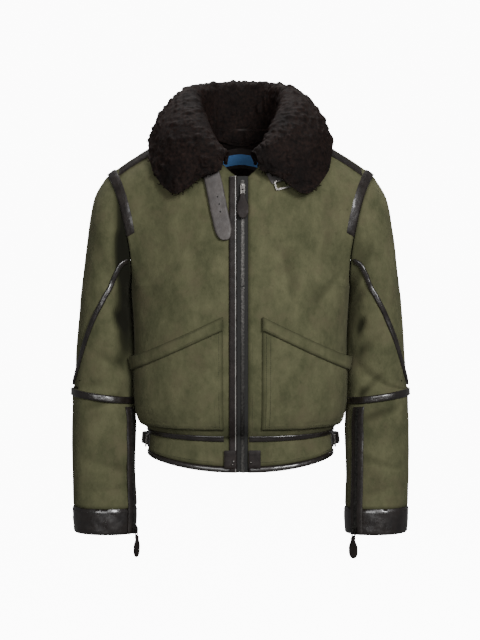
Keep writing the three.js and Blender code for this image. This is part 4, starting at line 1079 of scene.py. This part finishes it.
# Sleeves, cuffs and the tapes round them
TURNS = np.linspace(0, 360, 96, endpoint=False)
DIAGONAL_REACH = DIAGONAL["step"] * (len(DIAGONAL["rows"]) - 1)


# Row of the diagonal seam, or of the armhole beyond the seam's ends
def diagonal_row(turn):
    away = np.abs(np.mod(np.asarray(turn, float) + 180, 360) - 180)
    seam = read_rows(DIAGONAL["rows"], np.minimum(away / DIAGONAL["step"], 7))
    return np.where(away > DIAGONAL_REACH + 0.5, SLEEVE_TOP, np.maximum(seam, 0.25))


# Even strip along the diagonal seam: distance across it and turn
def diagonal_line(side):
    surface = sleeve(side)

    def line(across, turn):
        across, turn = floats(across, turn)
        points, normals = surface(turn, diagonal_row(turn))
        ahead = surface(turn + 1.5, diagonal_row(turn + 1.5))[0]
        ahead = ahead - surface(turn - 1.5, diagonal_row(turn - 1.5))[0]
        return points + scaled(unit(np.cross(ahead, normals)), across), normals

    return line


DIAGONAL_TAPE = {"wide": 10.2, "proud": 1.1, "reach": 124}
ELBOW_TAPE = {"wide": 14, "proud": 0.75}


# Row at a distance down the sleeve from a given row
def row_beyond(side, turn, row, distance):
    turn, distance = floats(turn, distance)
    start = sleeve_xyz(side, turn, row + 0 * turn)
    sign = np.where(distance < 0, -1, 1)

    def is_below(r):
        reach = sleeve_xyz(side, turn, row + sign * r) - start
        return np.linalg.norm(reach, axis=-1) < np.abs(distance)

    return row + sign * solve(0, 2, is_below, turn.shape)


# How far the sleeve's inner line leans out to rest on the body, at heights
RESTS = ([-500, -452, -428, -400, -360, -300, -250, -240, -228, -214],
         [0, 3.0, 4.4, 2.4, 1.7, 1.6, 1.8, 2.4, 2.6, 0])
REST_SPREAD = 13
under = DIAGONAL_REACH
elbow_turns = np.concatenate([TURNS, [under - 0.1, under + 0.6, 360.1 - under, 359.4 - under]])
elbow_turns = np.sort(elbow_turns)


# Painted shade, darkest on the right sleeve, in the valley between its front and the body
VALLEY_SHADE = {"x": 220, "half": 15, -1: 12.0, 1: 3.0}


def valley_shade(side, points):
    x, y, z = points[..., 0] * side, points[..., 1], points[..., 2]
    across = np.exp(-(((x - VALLEY_SHADE["x"]) / VALLEY_SHADE["half"]) ** 2)) * (1 - smooth(y, -20, 10))
    return VALLEY_SHADE[side] * across * smooth(z, -420, -250) * (1 - smooth(z, -60, 20))


def resting(points, turn):
    return np.interp(points[..., 2], *RESTS) * np.exp(-(((turn - 180) / REST_SPREAD) ** 2))


for side, word in SIDES:
    surface = sleeve(side)
    over = np.linspace(-DIAGONAL_REACH, DIAGONAL_REACH, 72)
    turn, share = np.meshgrid(over, np.linspace(0, 1, 78))
    upper = surface(turn, lerp(SLEEVE_TOP, diagonal_row(turn), share))
    turn, share = np.meshgrid(elbow_turns, np.linspace(0, 1, 52))
    elbow = surface(turn, lerp(diagonal_row(turn), ELBOW_ROW, share))
    forearm = on_grid(surface, TURNS, even_rows(surface, 0, ELBOW_ROW, CUFF_ROW, STEP))
    relief = suede_relief(elbow) + resting(elbow[0], turn)
    low_relief = suede_relief(forearm) + resting(forearm[0], TURNS[None, :])
    pieces = [("sleeve_upper", upper, suede_relief(upper)), ("sleeve_elbow", elbow, relief),
              ("sleeve_forearm", forearm, low_relief)]
    for name, at, relief in pieces:
        # The shade of each sleeve piece is the painted valley shade, which darkens its colour
        shell(f"{name}_{word}", suede, at, HIDE, relief=relief, roll=(1.6, 5),
              wraps=name != "sleeve_upper", lining=fleece, shade=valley_shade(side, at[0]))
    at = on_grid(surface, TURNS, np.linspace(CUFF_ROW, CUFF_END, 15))
    leather_shell(f"cuff_{word}", dark_leather, at, HIDE + 2, 1, (2.2, 5), 2.0, wraps=True,
                  lining=fleece)
    turn = np.linspace(0, 360, 120)
    stitch("leather", surface, turn, CUFF_ROW + 0.1, 1.2)
    line, half = diagonal_line(side), DIAGONAL_TAPE["wide"] / 2
    reach = DIAGONAL_TAPE["reach"]
    at = on_grid(line, np.linspace(-half, half, 7), np.linspace(-reach, reach, 150))
    lift = LAY_GAP + LEATHER + DIAGONAL_TAPE["proud"]
    leather_shell(f"diagonal_tape_{word}", dark_leather, at, LEATHER + 1, lift, (1.7, 3), 1.2)
    for inset in (1.3 - half, half - 1.3):
        stitch("leather", line, inset, np.linspace(-reach + 1, reach - 1, 200), lift - 0.1)
    half = ELBOW_TAPE["wide"] / 2
    t, distance = np.meshgrid(np.linspace(0, 360, 132, endpoint=False), np.linspace(-half, half, 8))
    at = surface(t, row_beyond(side, t, float(ELBOW_ROW), distance))
    lift = LAY_GAP + LEATHER + ELBOW_TAPE["proud"]
    leather_shell(f"elbow_tape_{word}", dark_leather, at, LEATHER, lift, (1.6, 3.4), 1.2,
                  wraps=True)
    for inset in (2 - half, half - 2):
        rows = row_beyond(side, turn, float(ELBOW_ROW), inset + 0 * turn)
        stitch("leather", surface, turn, rows, lift + 0.1)

# Tapes along the armhole, on the body's side of the seam, and over the shoulder
ARMHOLE_TAPE = {"wide": 19, "lowest": -15, "edge": 0.985}
SHOULDER_TAPE = {"from": 55, "to": 69, "inner": 120, "outer": 232}


def armhole_line(side):
    def surface(out, along):
        out, along = floats(out, along)
        is_front = along < 0
        angle = lerp(90, ARMHOLE_TAPE["lowest"], np.abs(along))
        row = row_for(angle)
        rim = body_xyz(is_front, 0.0, ARMHOLE_TAPE["edge"] + 0 * row, row)

        def is_far(a):
            away = np.linalg.norm(body_xyz(is_front, 0.0, a, row) - rim, axis=-1)
            return away > ARMHOLE_TAPE["wide"]

        inner = solve(0, 1, is_far, out.shape)
        across = lerp(inner, ARMHOLE_TAPE["edge"], out)
        return body(side * np.where(is_front, 2 - across, across), row)

    return surface


def shoulder_line(side):
    def surface(x, up):
        x, up = floats(x, up)
        angle = lerp(SHOULDER_TAPE["from"], SHOULDER_TAPE["to"], up)
        row = row_for(angle)
        return body(side * (2 - across_at(0, x, row)), row)

    return surface


for side, word in SIDES:
    surface = armhole_line(side)
    at = on_grid(surface, np.linspace(0, 1, 9), np.linspace(-1, 1, 130))
    leather_shell(f"armhole_tape_{word}", tape_leather, at, LEATHER, LAY_GAP + LEATHER,
                  (1.7, 4), 1.6)
    for out in (0.14, 0.86):
        stitch("leather", surface, out, np.linspace(-0.99, 0.99, 160), LAY_GAP + LEATHER + 0.2)
    surface = shoulder_line(side)
    x = np.linspace(SHOULDER_TAPE["inner"], SHOULDER_TAPE["outer"], 34)
    at = on_grid(surface, x, np.linspace(0, 1, 7))
    leather_shell(f"shoulder_tape_{word}", tape_leather, at, LEATHER, LAY_GAP + 0.6 + LEATHER,
                  (1.5, 3.5))
    for up in (0.15, 0.85):
        stitch("leather", surface, x, up, LAY_GAP + 0.8 + LEATHER)

# Collar: a thick fleece wall with curls all over it
BASE_SUNK = 2.4
at_line = np.linspace(-COLLAR_END, COLLAR_END, 330)
up_line = np.interp(np.linspace(0, 1, 88), [0, 0.34, 0.64, 1], [COLLAR_BASE, 1, 2, 3])


def collar_half(up):
    return np.interp(up, [0, 1, 2, 3], COLLAR_THICK) / 2


at_grid, up_grid = np.meshgrid(at_line, up_line)
points, normals = collar(at_grid, up_grid)
thick = 2 * collar_half(up_grid)
relief = fleece_relief(points)
shell("collar", fleece, (points, normals), thick - 2 * BASE_SUNK + 1, lift=thick / 2 - BASE_SUNK,
      relief=relief, roll=(4.5, 7), cut=False)

CURL = {"count": 6200, "radius": 3.3, "turn": 4.1, "root": 1.6, "steps": 5}


# Curled locks on a surface, each a tapering tube bent round in its own direction
def make_curls(name, points, normals, seed, size=1.0):
    chance = np.random.RandomState(seed)
    count = len(points)
    tangent = unit(np.cross(normals, unit(chance.normal(size=(count, 3)))))
    lean = unit(normals + tangent * chance.uniform(-0.5, 0.5, (count, 1)))
    sideways = unit(tangent - lean * np.sum(tangent * lean, axis=1, keepdims=True))
    binormal = np.cross(lean, sideways)
    radius = size * CURL["radius"] * chance.uniform(0.7, 1.25, (count, 1))
    share = np.linspace(0, 1, CURL["steps"])
    verts = []
    for s in share:
        theta = CURL["turn"] * s
        middle = points + radius * (np.sin(theta) * lean + (1 - np.cos(theta)) * sideways)
        middle = middle + binormal * radius * 0.6 * s
        heading = np.cos(theta) * lean + np.sin(theta) * sideways
        outwards = np.cross(binormal, heading)
        wide = size * CURL["root"] * (1.05 - 0.75 * s)
        for k in range(3):
            phi = 2 * np.pi * k / 3
            verts.append(middle + wide * (np.cos(phi) * outwards + np.sin(phi) * binormal))
    verts = np.stack(verts, axis=1)
    pattern = []
    for step in range(CURL["steps"] - 1):
        for k in range(3):
            n = (k + 1) % 3
            a, b = 3 * step, 3 * step + 3
            pattern.append((a + k, a + n, b + n, b + k))
    dress(repeated(name, verts, pattern, fleece))


# Points spread evenly by area over the fleece side of the collar, its rim and edges
def spread_on_collar(side, count, seed):
    chance = np.random.RandomState(seed)
    at = side * chance.uniform(0.0, COLLAR_END, 40 * count)
    up = chance.uniform(0.0, 3.0, 40 * count)
    h = 0.05
    low = collar_xyz(at, up)
    d_at = collar_xyz(np.clip(at + h, -COLLAR_END, COLLAR_END), up) - low
    d_up = collar_xyz(at, np.clip(up + h, 0, 3)) - low
    area = np.linalg.norm(np.cross(d_at, d_up), axis=1) + 1e-6
    picked = chance.choice(len(at), count, replace=False, p=area / area.sum())
    at, up = at[picked], up[picked]
    points, normals = collar(at, up)
    half = collar_half(up)
    inset = np.minimum(np.clip((3 - up) * 30, 0, 6), np.clip((COLLAR_END - np.abs(at)) * 30, 0, 6))
    sunk = BASE_SUNK + 3.6 * (1 - inset / 6) ** 2
    rise = half - sunk - 0.6 + fleece_relief(points)
    return points + scaled(normals, rise), normals


for side, word in SIDES:
    points, normals = spread_on_collar(side, CURL["count"], 11 + side)
    make_curls(f"collar_curls_{word}", points, normals, 5 + side)

# Facing and blank label inside the back of the neck
FACING = {"half": 0.12, "low": 0.58, "high": 0.678}
LABEL = {"half": 0.095, "low": 0.598, "high": 0.65}
inside_lift = -HIDE - 1.6 * LAY_GAP
at = on_grid(body, np.linspace(-FACING["half"], FACING["half"], 36),
             ARMPIT + np.linspace(FACING["low"], FACING["high"], 16))
shell("neck_facing", facing_leather, at, LEATHER, lift=inside_lift, roll=(0.5, 2))
at = on_grid(body, np.linspace(-LABEL["half"], LABEL["half"], 40),
             ARMPIT + np.linspace(LABEL["low"], LABEL["high"], 12))
shell("neck_label", label_cloth, at, 1, lift=-HIDE - 2.3 * LAY_GAP - LEATHER, roll=(0.3, 1))

# Throat strap with holes, hanging open on the right front
STRAP = {"wide": 33, "thick": 3, "lift": 4.8, "tip_from": 2.9, "tip_long": 2.1,
         "tip_power": 1.7, "tip_least": 0.12}
STRAP_PATH = [(58, 12), (50, -20), (42, -60), (34, -98), (31, -117), (29.5, -127)]


def strap_line(across, along):
    across, along = floats(across, along)
    x = read_rows([p[0] for p in STRAP_PATH], along)
    z = read_rows([p[1] for p in STRAP_PATH], along)
    end = np.clip((along - STRAP["tip_from"]) / STRAP["tip_long"], 0, 1)
    share = np.sqrt(np.maximum(1 - end ** STRAP["tip_power"], 0))
    share = np.maximum(share, STRAP["tip_least"])
    return body(*front_place(-1, x + across * STRAP["wide"] * share, z))


at = strap_line(*np.meshgrid(np.linspace(-0.5, 0.5, 14), np.linspace(0, 5, 44)))
leather_shell("collar_strap", strap_leather, at, STRAP["thick"], STRAP["lift"] + STRAP["thick"],
              (1.4, 3), 0.9)

# Short strap of the throat buckle, under the left side of the collar
CATCH_PATH = [(58, 14), (66, -2), (74, -16)]
CATCH = {"wide": 30, "slant": 10, "thick": 2.5}
across, along = np.meshgrid(np.linspace(-0.5, 0.5, 10), np.linspace(0, 2, 10))
x = read_rows([p[0] for p in CATCH_PATH], along) + across * CATCH["wide"]
z = read_rows([p[1] for p in CATCH_PATH], along) + across * CATCH["slant"]
at = body(*front_place(1, x, z))
leather_shell("buckle_strap", strap_leather, at, CATCH["thick"], LAY_GAP + CATCH["thick"],
              (1, 2.5), 0.7)


# Small round pieces on a surface: studs are domes, and holes are flat dark discs, painted shade
# where the uncut strap has a hole
def rounds(name, places, radius, tall, finish):
    verts, faces = [], []
    ring = np.linspace(0, 2 * np.pi, 16, endpoint=False)
    for point, normal in places:
        a = unit(np.cross(normal, [0, 0, 1]))
        b = np.cross(normal, a)
        start = len(verts)
        for share, height in ((1, -0.4), (1, 0.35), (0.7, 0.8)):
            circle = np.outer(np.cos(ring), a) + np.outer(np.sin(ring), b)
            verts.extend(point + radius * share * circle + normal * height * tall)
        verts.append(point + normal * tall)
        for level in (0, 16):
            for k in range(16):
                n = (k + 1) % 16
                faces.append((start + level + k, start + level + n,
                              start + level + 16 + n, start + level + 16 + k))
        for k in range(16):
            faces.append((start + 32 + k, start + 32 + (k + 1) % 16, start + 48))
    dress(new_object(name, verts, faces, [finish]))


def place_on_front(side, x, z, lift):
    point, normal = body(*front_place(side, [x], [z]))
    return point[0] + normal[0] * lift, normal[0]


# Places of the holes and studs: side, x and height
HOLES = {"radius": 1.7, "tall": 0.35, "places": [(-1, 42.5, -46), (-1, 39.5, -60), (-1, 37, -74)]}
STUDS = {"radius": 2.1, "tall": 1.3,
         "places": [(-1, 15.2, -549), (-1, 13.6, -543), (1, 19.5, -545)]}
holes = [place_on_front(*place, STRAP["lift"] + STRAP["thick"]) for place in HOLES["places"]]
rounds("strap_holes", holes, HOLES["radius"], HOLES["tall"], hole_shade_finish)
studs = [place_on_front(*place, PATCH_LIFT[place[0]]) for place in STUDS["places"]]
rounds("patch_studs", studs, STUDS["radius"], STUDS["tall"], metal)

# Zips at the inner front of the forearms
CUFF_ZIP = {-1: 150, 1: 131}
CUFF_STRIP = {"half": 13, "from": 8.25}
STRIP_LIFT = 1 + LAY_GAP + 0.4 + 1.8


def cuff_line(side):
    turn = CUFF_ZIP[side]

    def surface(distance, row):
        distance, row = floats(distance, row)
        middle = sleeve_xyz(side, turn + 0 * row, row) - sleeve_centre(row)
        degrees = np.degrees(distance / np.linalg.norm(middle, axis=-1))
        return sleeve(side)(turn + degrees, row)

    return surface


for side, word in SIDES:
    surface = cuff_line(side)
    rows = even_rows(surface, 0, CUFF_STRIP["from"], CUFF_END - 0.01, 4)
    across = np.linspace(-CUFF_STRIP["half"], CUFF_STRIP["half"], 11)
    at = on_grid(surface, across, rows)
    leather_shell(f"sleeve_zip_strip_{word}", tape_leather, at, 1.8, STRIP_LIFT, (1.4, 3), 1.2)
    for inset in (-10.6, 10.6):
        stitch("leather", surface, inset, rows, STRIP_LIFT + 0.1)
    zip_teeth(f"sleeve_zip_teeth_{word}", surface, 0, CUFF_STRIP["from"] + 0.05, CUFF_END - 0.03,
              STRIP_LIFT + 0.2, 4.4)

# Side adjusters: each strap bows out between its seam and its frame
ADJUSTER = {"from": 0.72, "to": 1.2, "low": 1.35, "high": 2.55, "thick": 3}
STRAP_BOW = {"from": 0.74, "to": 1.05, "deep": 13}
for side, word in SIDES:
    girth = np.linspace(ADJUSTER["from"], ADJUSTER["to"], 40)
    rows = np.linspace(ADJUSTER["low"], ADJUSTER["high"], 11)
    points, normals = on_grid(body, side * girth, rows)
    along = (girth - STRAP_BOW["from"]) / (STRAP_BOW["to"] - STRAP_BOW["from"])
    bow = STRAP_BOW["deep"] * np.sin(np.pi * np.clip(along, 0, 1)) ** 2
    points = points + scaled(normals, np.broadcast_to(bow, points.shape[:2]))
    leather_shell(f"side_strap_{word}", dark_leather, (points, normals), ADJUSTER["thick"],
                  LAY_GAP + 0.4 + ADJUSTER["thick"], (1.5, 3))

# Pull tabs: leather leaves that hang from the pullers
PIVOT = {"out": 5.75, "z": -1.9}
TAB = {"near": 1.1, "top": -9.5, "thick": 2.3, "neck": 0.24, "flare": 0.26}
MAIN_TAB = {"long": 48, "wide": 22}
SLEEVE_TAB = {"long": 42, "wide": 20}


def make_tab(name, body_name, seat, out, up, size):
    back = -unit(out)
    right = unit(np.cross(back, up))
    top = unit(np.cross(right, back))
    origin = seat - back * PIVOT["out"] + top * PIVOT["z"]
    s = np.linspace(0, 1, 30)
    neck = TAB["neck"] + TAB["flare"] * smooth(s, 0.12, 0.5)
    end = np.sqrt(np.clip(1 - (np.clip(s - 0.68, 0, 1) / 0.32) ** 2, 0, 1))
    start = np.sqrt(np.clip(1 - (np.clip(0.06 - s, 0, 1) / 0.06) ** 2, 0.05, 1))
    half = size["wide"] * neck * np.maximum(end, 0.05) * start
    x = np.linspace(-1, 1, 12)[None, :] * half[:, None]
    z = np.broadcast_to((TAB["top"] - s * size["long"])[:, None], x.shape)
    points = origin + x[..., None] * right + z[..., None] * top
    normals = np.broadcast_to(-back, points.shape)
    bow = 0.5 * np.sin(np.pi * s)[:, None]
    shell(name, facing_leather, (points, normals), TAB["thick"], lift=TAB["near"] + 2.4,
          relief=leather_relief(points, 0.5) - bow, roll=(0.9, 2), body_name=body_name,
          cut=False)


MAIN_SLIDER_ROW = ARMPIT + 0.445
point, normal = zip_line([ZIP_X, ZIP_X], [MAIN_SLIDER_ROW, MAIN_SLIDER_ROW + 0.02])
make_tab("zip_pull_tab", "zip_pull", point[0] + normal[0] * (TAPE_SUNK + 2.3), normal[0],
         point[1] - point[0], MAIN_TAB)
for side, word in SIDES:
    turn, row = CUFF_ZIP[side], CUFF_END - 0.28
    point, normal = sleeve(side)([turn, turn], [row, row - 0.1])
    make_tab(f"sleeve_zip_{word}_pull_tab", f"sleeve_zip_{word}_pull",
             point[0] + normal[0] * (STRIP_LIFT + 2.1), normal[0], point[1] - point[0],
             SLEEVE_TAB)

make_stitches("suede_stitches", "suede", suede_thread)
make_stitches("leather_stitches", "leather", leather_thread)

# Metal from the CAD keeps its shape and gets its finish and softened edges
METAL = ["zip_slider", "zip_puller", "collar_buckle"]
for _, word in SIDES:
    METAL += [f"side_buckle_{word}", f"sleeve_zip_{word}_slider", f"sleeve_zip_{word}_puller"]
SOFT_EDGE = 0.35
for name in METAL:
    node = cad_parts[name]
    for material_slot in node.material_slots:
        material_slot.material = metal
    bevel = node.modifiers.new("soft_edges", "BEVEL")
    bevel.width = SOFT_EDGE * MM
    bevel.segments = 2
    bevel.limit_method = "ANGLE"

# Stage: a bright room that only the camera sees
FLOOR_Z = -1050
PAPER_GLOW = 11.0
paper, paper_shader, _ = new_finish("paper", roughness=0.9)
paper_shader.inputs["Base Color"].default_value = colour(0.9, 0.9, 0.9)
paper_shader.inputs["Emission Color"].default_value = colour(1, 1, 1)
paper_shader.inputs["Emission Strength"].default_value = PAPER_GLOW
ROOM = {"radius": 7000, "sides": 64, "profile": [(0, 0), (0.55, 0), (0.8, 0.06), (0.95, 0.2),
                                                (1, 0.45), (0.9, 0.9), (0.5, 1.15), (0, 1.25)]}
ring = np.linspace(0, 2 * np.pi, ROOM["sides"], endpoint=False)
verts = np.stack([
    np.stack([out * np.cos(ring), out * np.sin(ring), up + 0 * ring], axis=1)
    for out, up in ROOM["profile"]
]) * ROOM["radius"] + [0, 0, FLOOR_Z]
index = np.arange(verts.shape[0] * verts.shape[1]).reshape(verts.shape[:2])
index = np.concatenate([index, index[:, :1]], axis=1)
faces = np.stack([index[:-1, :-1], index[:-1, 1:], index[1:, 1:], index[1:, :-1]], axis=-1)
room = new_object("room", verts.reshape(-1, 3), faces.reshape(-1, 4), [paper])
for kind in ("visible_diffuse", "visible_glossy", "visible_transmission", "visible_shadow"):
    setattr(room, kind, False)

WORLD_GLOW = 0.17
world = bpy.data.worlds.new("studio")
bpy.context.scene.world = world
world.use_nodes = True
background = world.node_tree.nodes["Background"]
background.inputs["Color"].default_value = colour(1, 1, 1)
background.inputs["Strength"].default_value = WORLD_GLOW

# Lights: name, place, target, size in metres and power
LIGHTS = [
    ("key", (1.15, -2.7, 0.85), (0, 0, -0.25), 0.9, 100),
    ("fill", (-0.6, -3.0, 0.4), (0, 0, -0.3), 1.2, 34),
    ("top", (-0.2, 0.5, 1.9), (0, 0, -0.1), 1.0, 40),
]


def aimed(name, data, place, target):
    thing = bpy.data.objects.new(name, data)
    thing.location = place
    thing.rotation_euler = (Vector(target) - Vector(place)).to_track_quat("-Z", "Y").to_euler()
    bpy.context.scene.collection.objects.link(thing)
    return thing


for name, place, target, size, power in LIGHTS:
    light = bpy.data.lights.new(name, "AREA")
    light.size = size
    light.energy = power
    aimed(name, light, place, target)

CAMERA = {"place": (-0.001, -3.2, -0.15), "target": (-0.001, 0, -0.2807), "sensor": 36,
          "lens": 92.3}
camera_data = bpy.data.cameras.new("camera")
camera_data.sensor_fit = "VERTICAL"
camera_data.sensor_height = CAMERA["sensor"]
camera_data.lens = CAMERA["lens"]
camera = aimed("camera", camera_data, CAMERA["place"], CAMERA["target"])
bpy.context.scene.camera = camera
